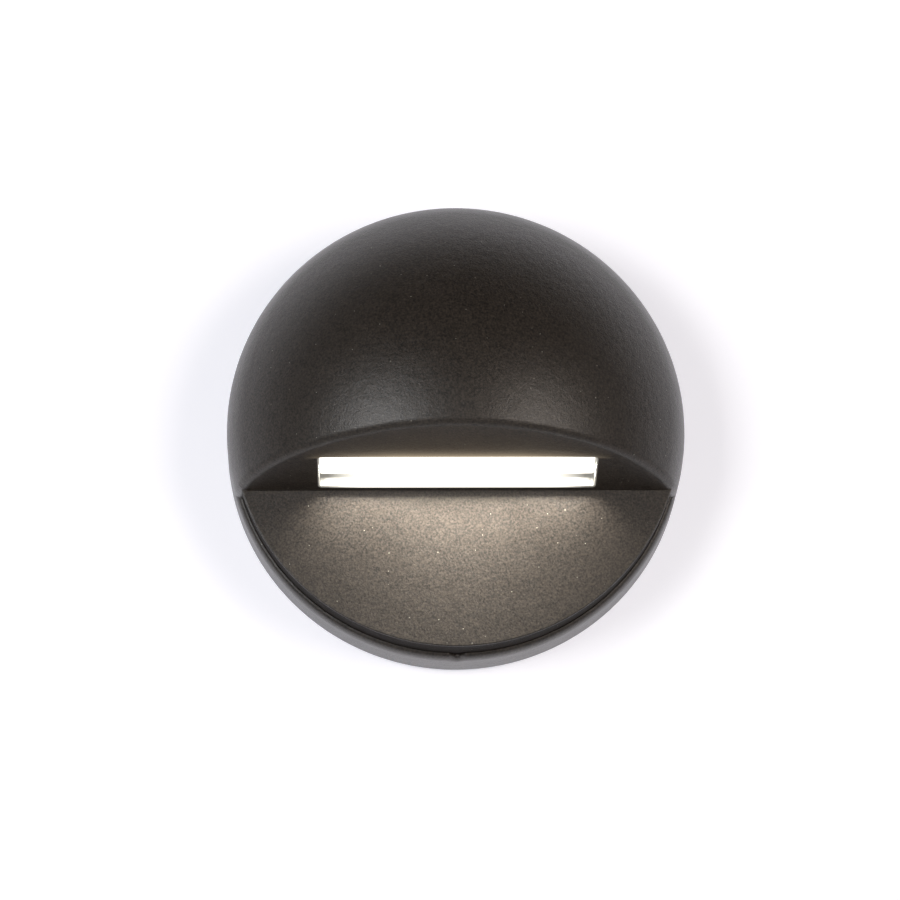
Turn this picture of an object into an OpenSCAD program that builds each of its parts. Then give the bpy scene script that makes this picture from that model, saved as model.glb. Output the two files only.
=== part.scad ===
// Round surface-mounted deck light with a half-dome hood over a downward window.
// Drawn standing on a wall: X to the right, +Z up, the wall is the plane Y = 0 and the light looks towards -Y.
// Most pieces are drawn lying down first, with the wall as the plane Z = 0, and on_wall() stands them up.

/* [Body casting] */
// Diameter at the back edge
body_d = 76.2; // [74:0.1:84]
// Height of the hood above the wall
body_h = 38.3; // [37.5:0.1:44]
// Wall of the casting
shell_t = 2.3; // [1.8:0.1:2.8]
// Height at which the rim turns into the hood
shoulder_h = 12; // [10.5:0.1:13]
// Radius of the arc between the rim and the crown of the hood
shoulder_r = 14.8; // [12:0.1:18]
// How much the rim draws in from its back edge up to the shoulder
rim_draft = 0.3; // [0.1:0.05:0.8]

/* [Lit plate] */
// Height of the flat plate above the wall
plate_h = 16.4; // [16:0.1:18]
// Thickness of the flat plate
plate_t = 2; // [1.6:0.1:2.4]
// Height of the narrow ledge round the plate
ledge_h = 9.6; // [9.5:0.1:12.5]
// Width of the ledge
ledge_w = 1.05; // [0.8:0.05:2]
// Rounding of the plate's edge
plate_round = 0.7; // [0.3:0.05:1.2]
// Rounding of the ledge's outer edge
rim_round = 0.7; // [0.2:0.05:0.8]
// Width of the drain notch at the lowest point of the ledge
notch_w = 1.6; // [1:0.1:3]
// Depth of the drain notch
notch_h = 2.4; // [1:0.1:3]

/* [Brow wall] */
// Distance of the wall's foot line below the centre of the light
wall_foot = 11; // [10:0.1:12]
// Lean of the brow wall from the square
wall_lean = 17.5; // [15:0.5:20]
// Thickness of the brow wall
wall_t = 2; // [1.6:0.1:2.4]
// Length of the window
window_w = 44.8; // [38:0.1:46]
// Height of the window along the wall
window_h = 9.3; // [8:0.1:10]
// Strip of wall between the plate and the window
window_rise = 1.25; // [0.8:0.05:2]
// Corner radius of the window
window_r = 0.5; // [0.3:0.1:1]

/* [Window and its seal] */
// Thickness of the frosted pane
pane_t = 1.8; // [1.2:0.1:2.4]
// Lap of the pane behind the wall
pane_lap = 1.6; // [1.2:0.1:2]
// Corner radius of the pane
pane_round = 3; // [1:0.1:3.2]
// Thickness of the pane's seal, pressed
seal_t = 0.5; // [0.3:0.1:1]
// Setback of the seal's opening from the window's edge
seal_setback = 0.3; // [0.1:0.1:0.6]

/* [Light engine] */
// Depth of the reflector tray
tray_depth = 7; // [5:0.1:8]
// Wall of the tray
tray_t = 1.1; // [0.8:0.1:1.4]
// Height of the tray's channel at the board
channel_h = 5; // [4:0.1:6]
// Number of light-emitting chips
chip_n = 8; // [4:1:9]
// Spacing of the chips
chip_pitch = 5; // [4.2:0.1:5]
// Length of a chip
chip_l = 3.5; // [2.8:0.1:3.8]
// Width of a chip
chip_w = 2.8; // [2:0.1:3.4]
// Thickness of a chip
chip_h = 0.7; // [0.5:0.1:1]
// Thickness of the chips' board
board_t = 1; // [0.8:0.1:1.6]
// Reach of the board's tab above the pane's edge
tab_h = 3.6; // [3.2:0.1:4.5]
// Half width of that tab
tab_half = 15.5; // [13:0.5:16]
// Thickness of the heat pad
pad_t = 0.4; // [0.2:0.1:0.6]
// Thickness of the aluminium bracket
bracket_t = 1.6; // [1.2:0.1:1.8]
// Depth of the bracket's folded lip
lip_d = 5; // [3:0.1:6]
// Radius of the bosses that carry the bracket
boss_r = 2.6; // [2.3:0.1:2.8]

/* [Driver] */
// Length of the driver cup
cup_l = 28; // [24:0.5:30]
// Height of the driver cup
cup_h = 9.4; // [8.8:0.1:9.8]
// Distance of the cup's near side above the centre of the light
cup_y = 9.2; // [8.8:0.1:10]
// Corner radius of the driver cup
cup_round = 1.5; // [1.3:0.1:2.5]
// Wall of the driver cup
cup_t = 1.2; // [0.8:0.1:1.6]
// Thickness of the driver board
pcb_t = 1.2; // [0.8:0.1:1.6]
// Length of thread of the cup's screws in the cover's bosses
cup_screw_bite = 2.6; // [2:0.1:2.8]
// Radius of the capacitors
cap_r = 2.4; // [1.8:0.1:2.5]
// Height of the capacitors
cap_h = 4.6; // [3.6:0.1:5]
// Radius of the coil
coil_r = 2.8; // [2:0.1:2.8]
// Height of the coil
coil_h = 3.6; // [2.8:0.1:4.4]
// Side of the two flat chips
flat_l = 3.2; // [2.6:0.1:3.6]
// Length of the terminal
terminal_l = 5; // [4:0.1:6]
// Width of the terminal
terminal_w = 2.6; // [2:0.1:2.8]
// Radius of the insulated leads
lead_r = 0.65; // [0.4:0.05:0.8]
// Distance of the leads' ends from the driver board's edge
lead_inset = 0.7; // [0.7:0.05:1]

/* [Rear cover] */
// Height of the cover's seat above the wall
seat_h = 9.2; // [9.1:0.1:9.4]
// Thickness of the cover
cover_t = 1.6; // [1.2:0.1:2]
// Gap between the cover and the rim
cover_gap = 0.45; // [0.2:0.05:0.8]
// Thickness of the shelf that the cover is screwed to
shelf_t = 2.2; // [1.8:0.1:2.6]
// Width of that shelf
shelf_w = 7.2; // [7:0.1:8.3]
// Width of the ring groove in the shelf
groove_w = 1.8; // [1.4:0.1:2]
// Depth of the ring groove
groove_d = 1.2; // [0.8:0.1:1.4]
// Distance of the cover's screws from the recess's side
cover_screw_edge = 2.7; // [2.6:0.05:2.9]
// Length of thread of the cover's screws in the shelf
cover_screw_bite = 3.4; // [2.5:0.1:3.6]

/* [Cable inlet] */
// Distance of the inlet below the centre of the light
inlet_drop = 11; // [10:0.1:13]
// Radius of the inlet's bore
inlet_r = 2.9; // [2:0.05:3.2]
// Radius of the bush where it passes through the cover
bush_r = 4.6; // [4.2:0.1:5]
// Radius of the bush's flanges
bush_flange_r = 6.2; // [5.8:0.1:7]
// Thickness of the bush's flanges
bush_flange_t = 1.2; // [0.8:0.1:1.4]

/* [Wall mounting] */
// Thickness of the seal against the wall, pressed
wall_seal_t = 0.8; // [0.5:0.1:1.2]
// Width of the seal against the wall
wall_seal_w = 4.2; // [3:0.1:5]
// Thickness of the mounting plate
mount_t = 1.5; // [1:0.1:2]
// Setback of the plate's disc from its ears
mount_setback = 3.3; // [2.5:0.1:4.3]
// Radius of the hole for the wires
wire_hole_r = 7.5; // [6:0.1:8]
// Spacing of the two screw slots
slot_spacing = 40; // [36:0.5:42]
// Width of a screw slot
slot_w = 4.6; // [3.5:0.1:5.5]
// Length of a screw slot from end to end
slot_l = 8; // [6:0.1:9]
// Width of the bent ears
ear_w = 12; // [10:0.5:14]
// Height of the bent ears
ear_h = 7; // [6:0.1:7.2]
// Inside radius of the bends
bend_r = 1; // [0.5:0.1:2]

/* [Set screws] */
// Nominal radius of a set screw
set_r = 2; // [1.5:0.25:2.25]
// Length of a set screw
set_l = 6; // [5:0.5:6.5]
// Height of the set screws above the wall
set_h = 4.1; // [3.8:0.1:4.3]
// Length of the boss that carries a set screw, inside the rim
set_boss_l = 4.8; // [4:0.1:5.5]

/* [Screws] */
// Thread radius of the small screws
screw_r = 1.25; // [1:0.05:1.4]
// Head radius of the small screws
head_r = 2; // [1.7:0.05:2.1]
// Head height of the small screws
head_h = 1.3; // [1:0.1:1.5]

/* [Clearances] */
// Gap round a screw in its hole, on the radius
screw_gap = 0.06; // [0.03:0.01:0.1]
// Gap between pieces that are laid together with play
play = 0.2; // [0.1:0.05:0.3]
// Gap between a set screw's tip and the ear
tip_gap = 0.05; // [0.02:0.01:0.1]
// Gap between the driver cup's corners and the shelf
cup_gap = 0.3; // [0.2:0.1:0.6]
// Gap between the ears and the set screws' bosses
ear_gap = 0.7; // [0.5:0.1:1]
// Gap between neighbours on the driver board
part_gap = 0.6; // [0.4:0.05:0.6]

/* [Hidden] */
$fn = 96;

bronze = [0.16, 0.14, 0.12];
brass = [0.72, 0.58, 0.32];
steel = [0.72, 0.73, 0.75];
aluminium = [0.8, 0.81, 0.83];
frosted = [0.98, 0.95, 0.86];
white = [0.93, 0.93, 0.91];
black = [0.09, 0.09, 0.1];
grey = [0.35, 0.35, 0.36];
green = [0.1, 0.32, 0.18];

body_r = body_d / 2;
far = 2 * body_d;
poke = 0.5; // how far a cutting body runs past the face that it cuts

// Outline of the hood: rim, shoulder arc and crown arc, tangent to one another.
rim_top_r = body_r - rim_draft;
shoulder_x = rim_top_r - shoulder_r;
hood_h = body_h - shoulder_h;
crown_drop = (shoulder_x ^ 2 - (hood_h - shoulder_r) ^ 2) / (2 * (hood_h - shoulder_r));
crown_r = hood_h + crown_drop;
crown_z = shoulder_h - crown_drop;
blend_deg = atan2(crown_drop, shoulder_x);
function rim_r_at(z) = body_r - rim_draft * z / shoulder_h;

ledge_r = rim_r_at(ledge_h);
plate_r = ledge_r - ledge_w;
recess_r = body_r - shell_t;
throat_r = recess_r - shelf_w;
shelf_top = seat_h + shelf_t;

// Centre of the window on the face of the brow wall, and the depths of what lies behind it.
window_up = window_rise + window_h / 2;
window_y = -wall_foot + window_up * sin(wall_lean);
window_z = plate_h + window_up * cos(wall_lean);
pane_d = wall_t + seal_t;
tray_d = pane_d + pane_t;
board_d = tray_d + tray_depth;
pad_d = board_d + board_t;
bracket_d = pad_d + pad_t;
pane_w = window_w + 2 * pane_lap;
pane_h = window_h + 2 * pane_lap;
boss_x = pane_w / 2 + boss_r + 0.9;
tab_top = pane_h / 2 + tab_h;
tab_mid = pane_h / 2 + tab_h / 2;
board_screw_x = tab_half - head_r - 0.5;
lead_x = 4;

chip_span = (chip_n - 1) * chip_pitch + chip_l;
channel_w = chip_span + 2;
flange_t = 1.2;
bracket_screw_l = 6;
ear_half = head_r + 0.8;

// The driver cup fills the room between the light engine and the shelf.
cup_w = sqrt((throat_r - cup_gap - cup_round) ^ 2 - (cup_l / 2 - cup_round) ^ 2) + cup_round - cup_y;
cup_mid = cup_y + cup_w / 2;
cup_ear_y = cup_y + head_r + 2.6;
cup_floor = 1.4;
cup_post = 1.2;
cup_ear_x = cup_l / 2 + head_r + 0.8;
cup_ear_t = 1.5;
cover_boss_h = 3.4;
cover_boss_r = 2.5;
cover_r = recess_r - cover_gap;
pcb_z = seat_h + cup_floor + cup_post;
pcb_top = pcb_z + pcb_t;
pcb_l = cup_l - 2 * (cup_t + play);
pcb_w = cup_w - 2 * (cup_t + play);

groove_r = throat_r + 1.2 + groove_w / 2;
cover_screw_pcr = recess_r - cover_screw_edge;
cover_screw_deg = [90, 210, 330];
tap_boss_r = 3;
tap_boss_h = cover_screw_bite + 1;
countersink_h = 1.2;

ear_x = recess_r - set_boss_l - ear_gap;
mount_r = ear_x - mount_setback;
set_tip_x = ear_x + tip_gap;
set_boss_r = set_h - wall_seal_t;

// Colour of a piece and its place on the wall.
module on_wall() {
    rotate([90, 0, 0]) children();
}

// Puts children on the brow wall: x along the window, y up the wall, z out of the wall, from the window's centre.
module at_window() {
    translate([0, window_y, window_z]) rotate([90 - wall_lean, 0, 0]) children();
}

// A point behind the window: x along it, up along the wall, deep behind the wall's face.
function behind(x, up, deep) = [x, window_y + up * sin(wall_lean) + deep * cos(wall_lean),
                                window_z + up * cos(wall_lean) - deep * sin(wall_lean)];

// A layer of the given thickness whose front lies deep behind the wall's face.
module layer(deep, thick) {
    at_window() translate([0, 0, -deep - thick]) linear_extrude(thick) children();
}

// A rectangle about the origin with round corners.
module round_rect(w, h, r) {
    square([w - 2 * r, h], center = true);
    square([w, h - 2 * r], center = true);
    for (x = [-1, 1], y = [-1, 1]) translate([x * (w / 2 - r), y * (h / 2 - r)]) circle(r = r);
}

// Half of the hood's section, inset evenly, from the given height up.
module hood_profile(inset = 0, foot = 0) {
    reach = crown_r + shoulder_r;
    intersection() {
        translate([0, crown_z]) circle(r = crown_r - inset);
        polygon([[0, shoulder_h], [shoulder_x, shoulder_h],
                 [reach * cos(blend_deg), crown_z + reach * sin(blend_deg)], [0, crown_z + reach]]);
    }
    intersection() {
        translate([shoulder_x, shoulder_h]) circle(r = shoulder_r - inset);
        translate([shoulder_x, shoulder_h])
            polygon([[0, 0], [reach, 0], [reach * cos(blend_deg), reach * sin(blend_deg)]]);
    }
    polygon([[0, foot], [rim_r_at(foot) - inset, foot], [rim_top_r - inset, shoulder_h], [0, shoulder_h]]);
}

// Everything in front of a plane parallel to the brow wall, set back by the given depth.
module before_wall(deep = 0) {
    translate([0, -wall_foot, plate_h]) rotate([90 - wall_lean, 0, 0])
        translate([-far / 2, -far / 2, -deep]) cube([far, far * 1.5, far]);
}

// Everything below the brow wall's foot line, from the given height up.
module below_foot(from) {
    translate([-far / 2, -wall_foot - far, from]) cube([far, far, plate_h - from + poke]);
}

// The open part of the body: in front of the brow wall, and the channel round the plate down to the ledge.
module open_part() {
    intersection() {
        before_wall();
        translate([-far / 2, -far / 2, plate_h]) cube(far);
    }
    below_foot(ledge_h);
}

// The flat plate with its rounded edge.
module plate_puck() {
    rotate_extrude() {
        translate([0, ledge_h - poke]) square([plate_r, plate_h - plate_round - ledge_h + poke]);
        translate([0, ledge_h - poke]) square([plate_r - plate_round, plate_h - ledge_h + poke]);
        translate([plate_r - plate_round, plate_h - plate_round]) circle(r = plate_round);
    }
}

// What is taken off the ledge's outer edge to round it.
module rim_rounding() {
    r = rim_r_at(ledge_h - rim_round) - rim_round;
    intersection() {
        below_foot(ledge_h - rim_round - poke);
        rotate_extrude() difference() {
            translate([r, ledge_h - rim_round]) square(rim_round + poke);
            translate([r, ledge_h - rim_round]) circle(r = rim_round);
        }
    }
}

module drain_notch() {
    translate([0, -plate_r, ledge_h]) rotate([90, 0, 0]) linear_extrude(body_r - plate_r + poke)
        polygon([[-notch_w / 2, poke], [-notch_w / 2, 0], [0, -notch_h], [notch_w / 2, 0], [notch_w / 2, poke]]);
}

// Space inside the casting: recess behind the cover, throat in the shelf and chamber under the hood.
module chamber() {
    translate([0, 0, -poke]) cylinder(r = recess_r, h = seat_h + poke);
    cylinder(r = throat_r, h = plate_h - plate_t);
    difference() {
        rotate_extrude() intersection() {
            hood_profile(shell_t);
            translate([0, shelf_top]) square([body_r, body_h]);
        }
        before_wall(wall_t);
    }
}

module set_screw_bosses() {
    l = set_boss_l + shell_t / 2;
    for (s = [-1, 1]) translate([s * (recess_r - set_boss_l), 0, 0]) {
        translate([0, 0, set_h]) rotate([0, s * 90, 0]) cylinder(r = set_boss_r, h = l);
        translate([min(0, s * l), -set_boss_r, wall_seal_t]) cube([l, 2 * set_boss_r, set_h - wall_seal_t]);
    }
}

// Bosses that carry the light engine, raised from the back of the brow wall.
module engine_bosses() {
    at_window() for (s = [-1, 1]) translate([s * boss_x, 0, -bracket_d])
        cylinder(r = boss_r, h = bracket_d - wall_t / 2);
}

module cover_screw_bosses() {
    intersection() {
        for (a = cover_screw_deg) rotate(a) translate([cover_screw_pcr, 0, seat_h + shelf_t / 2])
            cylinder(r = tap_boss_r, h = tap_boss_h - shelf_t / 2);
        rotate_extrude() hood_profile(shell_t / 2);
    }
}

module housing_holes() {
    at_window() {
        translate([0, 0, -wall_t - poke]) linear_extrude(wall_t + 2 * poke)
            round_rect(window_w, window_h, window_r);
        for (s = [-1, 1]) translate([s * boss_x, 0, -bracket_d - poke])
            cylinder(r = screw_r + screw_gap, h = bracket_screw_l + poke);
    }
    for (a = cover_screw_deg) rotate(a) translate([cover_screw_pcr, 0, seat_h - poke])
        cylinder(r = screw_r + screw_gap, h = cover_screw_bite + 0.2 + poke);
    rotate_extrude() translate([groove_r - groove_w / 2, seat_h - poke]) square([groove_w, groove_d + poke]);
    for (s = [-1, 1]) translate([s * (recess_r - set_boss_l - poke), 0, set_h]) rotate([0, s * 90, 0])
        cylinder(r = set_r + screw_gap, h = set_boss_l + shell_t + 2 * poke);
}

module housing() {
    color(bronze) on_wall() difference() {
        union() {
            difference() {
                union() {
                    difference() {
                        rotate_extrude() hood_profile(0, wall_seal_t);
                        open_part();
                    }
                    plate_puck();
                }
                chamber();
                rim_rounding();
                drain_notch();
            }
            set_screw_bosses();
            engine_bosses();
            cover_screw_bosses();
        }
        housing_holes();
    }
}

module window_lens() {
    color(frosted) on_wall() layer(pane_d, pane_t) round_rect(pane_w, pane_h, pane_round);
}

module lens_gasket() {
    color(black) on_wall() layer(wall_t, seal_t) difference() {
        round_rect(pane_w, pane_h, pane_round);
        round_rect(window_w + 2 * seal_setback, window_h + 2 * seal_setback, window_r);
    }
}

// White tray: a flange on the pane and a channel that narrows towards the chips.
module reflector_tray() {
    mouth_w = window_w - 0.4;
    mouth_h = window_h - 0.4;
    skin = 0.01;
    color(white) on_wall() at_window() translate([0, 0, -board_d]) difference() {
        union() {
            translate([0, 0, tray_depth - flange_t]) linear_extrude(flange_t) round_rect(pane_w, pane_h, pane_round);
            hull() {
                translate([0, 0, tray_depth - flange_t]) linear_extrude(skin)
                    square([mouth_w + 2 * tray_t, mouth_h + 2 * tray_t], center = true);
                linear_extrude(skin) square([channel_w + 2 * tray_t, channel_h + 2 * tray_t], center = true);
            }
        }
        hull() {
            translate([0, 0, tray_depth]) linear_extrude(skin) square([mouth_w, mouth_h], center = true);
            translate([0, 0, -skin]) linear_extrude(skin) square([channel_w, channel_h], center = true);
        }
    }
}

// Outline shared by the board, the heat pad and the bracket: a strip with a tab above it.
module engine_outline(less = 0) {
    strip_h = pane_h - 2 * play;
    square([pane_w - 2 * less, strip_h - 2 * less], center = true);
    translate([-tab_half + less, 0]) square([2 * (tab_half - less), tab_top - less]);
}

module led_board() {
    color(white) on_wall() layer(board_d, board_t) difference() {
        engine_outline();
        for (s = [-1, 1]) translate([s * board_screw_x, tab_mid]) circle(r = screw_r + screw_gap);
    }
}

module led_chips() {
    color(frosted) on_wall() at_window() for (i = [0 : chip_n - 1])
        translate([(i - (chip_n - 1) / 2) * chip_pitch, 0, -board_d]) {
            translate([-chip_l / 2, -chip_w / 2, 0]) cube([chip_l, chip_w, chip_h * 0.7]);
            translate([-chip_l / 2 + 0.3, -chip_w / 2 + 0.3, 0]) cube([chip_l - 0.6, chip_w - 0.6, chip_h]);
        }
}

module thermal_pad() {
    color(grey) on_wall() layer(pad_d, pad_t) difference() {
        engine_outline(0.3);
        for (s = [-1, 1]) translate([s * board_screw_x, tab_mid]) circle(r = screw_r + screw_gap);
    }
}

// Folded bracket: back plate with two ears on the bosses and a lip along its top.
module led_bracket() {
    ear_reach = boss_x + ear_half;
    color(aluminium) on_wall() difference() {
        union() {
            layer(bracket_d, bracket_t) {
                engine_outline();
                square([2 * boss_x, 2 * ear_half], center = true);
                for (s = [-1, 1]) translate([s * boss_x, 0]) circle(r = ear_half);
            }
            at_window() translate([-tab_half + 4, tab_top - bracket_t, -bracket_d - lip_d])
                cube([2 * (tab_half - 4), bracket_t, lip_d]);
        }
        at_window() for (s = [-1, 1]) {
            translate([s * boss_x, 0, -bracket_d - bracket_t - poke])
                cylinder(r = screw_r + screw_gap, h = bracket_t + 2 * poke);
            translate([s * board_screw_x, tab_mid, -bracket_d - bracket_t - poke])
                cylinder(r = screw_r + screw_gap, h = bracket_t + 2 * poke);
        }
    }
}

// A pan-head screw along -z, with its head's underside at z = 0 and a cross recess.
module pan_screw(l) {
    difference() {
        union() {
            cylinder(r = head_r, h = head_h * 0.6);
            translate([0, 0, head_h * 0.6]) cylinder(r1 = head_r, r2 = head_r * 0.7, h = head_h * 0.4);
            translate([0, 0, -l]) cylinder(r = screw_r, h = l + 0.01);
        }
        for (a = [0, 90]) rotate(a) translate([-head_r * 0.6, -0.2, head_h * 0.45])
            cube([head_r * 1.2, 0.4, head_h]);
    }
}

module led_board_screws() {
    color(steel) on_wall() at_window() for (s = [-1, 1]) translate([s * board_screw_x, tab_mid, -board_d])
        pan_screw(board_t + pad_t + bracket_t + 0.8);
}

module led_bracket_screws() {
    color(steel) on_wall() at_window() for (s = [-1, 1])
        translate([s * boss_x, 0, -bracket_d - bracket_t]) rotate([180, 0, 0])
            pan_screw(bracket_t + bracket_screw_l - 0.6);
}

// Open cup on the rear cover, with two ears for its screws and two posts under the board.
module driver_cup() {
    ear_y = cup_ear_y - cup_mid;
    ear_z = cover_boss_h;
    color(black) on_wall() translate([0, cup_mid, seat_h]) {
        difference() {
            union() {
                linear_extrude(cup_h) round_rect(cup_l, cup_w, cup_round);
                for (s = [-1, 1]) translate([s * cup_ear_x, ear_y, ear_z]) {
                    cylinder(r = head_r + 0.6, h = cup_ear_t);
                    translate([s > 0 ? -head_r - 1.6 : 0, -head_r - 0.6, 0])
                        cube([head_r + 1.6, 2 * (head_r + 0.6), cup_ear_t]);
                }
            }
            translate([0, 0, cup_floor]) linear_extrude(cup_h)
                round_rect(cup_l - 2 * cup_t, cup_w - 2 * cup_t, 0.8);
            for (s = [-1, 1]) translate([s * cup_ear_x, ear_y, ear_z - poke])
                cylinder(r = screw_r + screw_gap, h = cup_ear_t + 2 * poke);
        }
        for (s = [-1, 1]) translate([s * (cup_l / 2 - cup_t - 2), 0, cup_floor])
            cylinder(r = 1.4, h = cup_post);
    }
}

module driver_board() {
    color(green) on_wall() translate([0, cup_mid, pcb_z]) linear_extrude(pcb_t) round_rect(pcb_l, pcb_w, 0.8);
}

// Parts of the driver in a row: two capacitors, a drum coil, two flat chips with pins and the terminal.
module driver_components() {
    first_x = -pcb_l / 2 + part_gap + cap_r;
    coil_x = first_x + 3 * cap_r + 2 * part_gap + coil_r;
    chip_x = coil_x + coil_r + part_gap;
    pin_l = coil_r / 4;
    coil_rim = coil_h / 4.5;
    color(grey) on_wall() translate([0, cup_mid, pcb_top]) {
        for (i = [0, 1]) translate([first_x + i * (2 * cap_r + part_gap), 0, 0]) {
            cylinder(r = cap_r, h = cap_h * 0.15);
            cylinder(r = cap_r * 0.9, h = cap_h * 0.22);
            translate([0, 0, cap_h * 0.22]) cylinder(r = cap_r, h = cap_h * 0.78);
        }
        translate([coil_x, 0, 0]) {
            cylinder(r = coil_r, h = coil_rim);
            cylinder(r = coil_r * 0.7, h = coil_h);
            translate([0, 0, coil_h - coil_rim]) cylinder(r = coil_r, h = coil_rim);
        }
        for (y = [-pcb_w / 2 + part_gap, pcb_w / 2 - part_gap - flat_l]) translate([chip_x, y, 0]) {
            cube([flat_l, flat_l, flat_l / 2]);
            for (k = [0.15, 0.45, 0.75]) translate([flat_l - 0.1, k * flat_l, 0]) cube([pin_l, flat_l / 8, flat_l / 6]);
        }
        translate([pcb_l / 2 - part_gap - terminal_w, -terminal_l / 2, 0]) cube([terminal_w, terminal_l, terminal_w]);
    }
}

module driver_screws() {
    color(steel) on_wall() for (s = [-1, 1])
        translate([s * cup_ear_x, cup_ear_y, seat_h + cover_boss_h + cup_ear_t])
            pan_screw(cup_ear_t + cup_screw_bite);
}

// A tube of 8 sides through the given points, on a smooth curve, with square ends.
function curve_at(p, i, t) =
    let (a = p[max(i - 1, 0)], b = p[i], c = p[i + 1], d = p[min(i + 2, len(p) - 1)])
    0.5 * ((2 * b) + (c - a) * t + (2 * a - 5 * b + 4 * c - d) * t ^ 2 + (3 * b - a - 3 * c + d) * t ^ 3);
function unit(v) = v / norm(v);

module smooth_tube(points, r, steps = 4) {
    sides = 8;
    line = concat([for (i = [0 : len(points) - 2], k = [0 : steps - 1]) curve_at(points, i, k / steps)],
                  [points[len(points) - 1]]);
    n = len(line);
    side_way = [1, 0, 0];
    rings = [for (i = [0 : n - 1])
        let (along = unit(i == 0 ? points[1] - points[0]
                          : i == n - 1 ? points[len(points) - 1] - points[len(points) - 2]
                          : line[i + 1] - line[i - 1]),
             u = unit(side_way - (side_way * along) * along), v = cross(along, u))
        for (k = [0 : sides - 1]) line[i] + r * (cos(360 * k / sides) * u + sin(360 * k / sides) * v)];
    polyhedron(rings, concat(
        [[for (k = [sides - 1 : -1 : 0]) k]],
        [for (i = [0 : n - 2], k = [0 : sides - 1])
            let (a = i * sides + k, b = i * sides + (k + 1) % sides) [a, b, b + sides]],
        [for (i = [0 : n - 2], k = [0 : sides - 1])
            let (a = i * sides + k, b = i * sides + (k + 1) % sides) [a, b + sides, a + sides]],
        [[for (k = [0 : sides - 1]) (n - 1) * sides + k]]));
}

// A lead from the board's solder pad, over the bracket's top and down into the driver cup.
module lead(s) {
    pad_up = tab_mid;
    over = tab_top + lead_r + 0.5;
    land_y = cup_mid - pcb_w / 2 + lead_inset;
    smooth_tube([behind(s * lead_x, pad_up, board_d),
                 behind(s * lead_x, pad_up, board_d - 0.9),
                 behind(s * lead_x, pad_up + 1.2, board_d - 2),
                 behind(s * lead_x, over - 0.4, board_d - 1.1),
                 behind(s * lead_x, over + 0.2, board_d + 1.5),
                 behind(s * lead_x, over + 0.2, bracket_d + lip_d - 1),
                 [s * lead_x, land_y + 2.6, seat_h + cup_h + 2.2],
                 [s * lead_x, land_y + 0.5, seat_h + cup_h],
                 [s * lead_x, land_y, pcb_top + 2],
                 [s * lead_x, land_y, pcb_top]], lead_r);
}

module lead_positive() {
    color([0.6, 0.1, 0.08]) on_wall() lead(1);
}

module lead_negative() {
    color(black) on_wall() lead(-1);
}

module rear_cover() {
    color(brass) on_wall() difference() {
        union() {
            translate([0, 0, seat_h - cover_t]) cylinder(r = cover_r, h = cover_t);
            for (s = [-1, 1]) translate([s * cup_ear_x, cup_ear_y, seat_h - cover_t / 2])
                cylinder(r = cover_boss_r, h = cover_boss_h + cover_t / 2);
        }
        for (s = [-1, 1]) translate([s * cup_ear_x, cup_ear_y, seat_h + cover_boss_h - cup_screw_bite - 0.2])
            cylinder(r = screw_r + screw_gap, h = cup_screw_bite + 0.2 + poke);
        translate([0, -inlet_drop, seat_h - cover_t - poke]) cylinder(r = bush_r, h = cover_t + 2 * poke);
        for (a = cover_screw_deg) rotate(a) translate([cover_screw_pcr, 0, seat_h - cover_t]) {
            translate([0, 0, -poke]) cylinder(r = screw_r + screw_gap, h = cover_t + 2 * poke);
            translate([0, 0, -0.01]) cylinder(r1 = head_r + screw_gap, r2 = screw_r + screw_gap, h = countersink_h);
        }
    }
}

module rear_seal() {
    bulge = groove_w / 2 - 0.05;
    color(black) on_wall() rotate_extrude() translate([groove_r, seat_h + groove_d / 2]) intersection() {
        circle(r = bulge);
        square([groove_w, groove_d], center = true);
    }
}

module rear_cover_screws() {
    color(steel) on_wall() for (a = cover_screw_deg) rotate(a)
        translate([cover_screw_pcr, 0, seat_h - cover_t]) difference() {
            union() {
                cylinder(r1 = head_r, r2 = screw_r, h = countersink_h);
                cylinder(r = screw_r, h = cover_t + cover_screw_bite);
            }
            translate([0, 0, -0.01]) cylinder(r = 0.8, h = 0.7, $fn = 6);
        }
}

// Rubber bush in the cover: two flanges, a waist, a tapered nose and the bore for the cord.
module cable_gland() {
    nose = bush_r - 0.6;
    color(black) on_wall() translate([0, -inlet_drop, seat_h - cover_t]) rotate_extrude() polygon([
        [inlet_r, -bush_flange_t], [bush_flange_r - 0.3, -bush_flange_t], [bush_flange_r, -bush_flange_t + 0.3],
        [bush_flange_r, 0], [bush_r, 0], [bush_r, cover_t], [bush_flange_r - 0.4, cover_t],
        [nose + 0.4, cover_t + bush_flange_t], [inlet_r, cover_t + bush_flange_t]]);
}

module wall_gasket() {
    outer = body_r - 0.4;
    color(black) on_wall() rotate_extrude() translate([outer - wall_seal_w, 0])
        square([wall_seal_w, wall_seal_t]);
}

// Folded steel plate: disc with arms, whose ends are bent out into ears.
module mounting_plate() {
    color(steel) on_wall() difference() {
        union() {
            cylinder(r = mount_r, h = mount_t);
            intersection() {
                rotate([90, 0, 0]) linear_extrude(ear_w, center = true) difference() {
                    translate([0, ear_h]) round_rect(2 * ear_x, 2 * ear_h, bend_r + mount_t);
                    translate([0, ear_h]) round_rect(2 * (ear_x - mount_t), 2 * (ear_h - mount_t), bend_r);
                    translate([-far / 2, ear_h]) square(far);
                }
                rotate([90, 0, 90]) linear_extrude(far, center = true) round_rect(ear_w, 2 * ear_h, 2);
            }
        }
        translate([0, -inlet_drop, -poke]) cylinder(r = wire_hole_r, h = mount_t + 2 * poke);
        for (s = [-1, 1]) translate([s * slot_spacing / 2, 0, -poke]) linear_extrude(mount_t + 2 * poke) {
            square([slot_l - slot_w, slot_w], center = true);
            for (e = [-1, 1]) translate([e * (slot_l - slot_w) / 2, 0]) circle(r = slot_w / 2);
        }
    }
}

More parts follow.
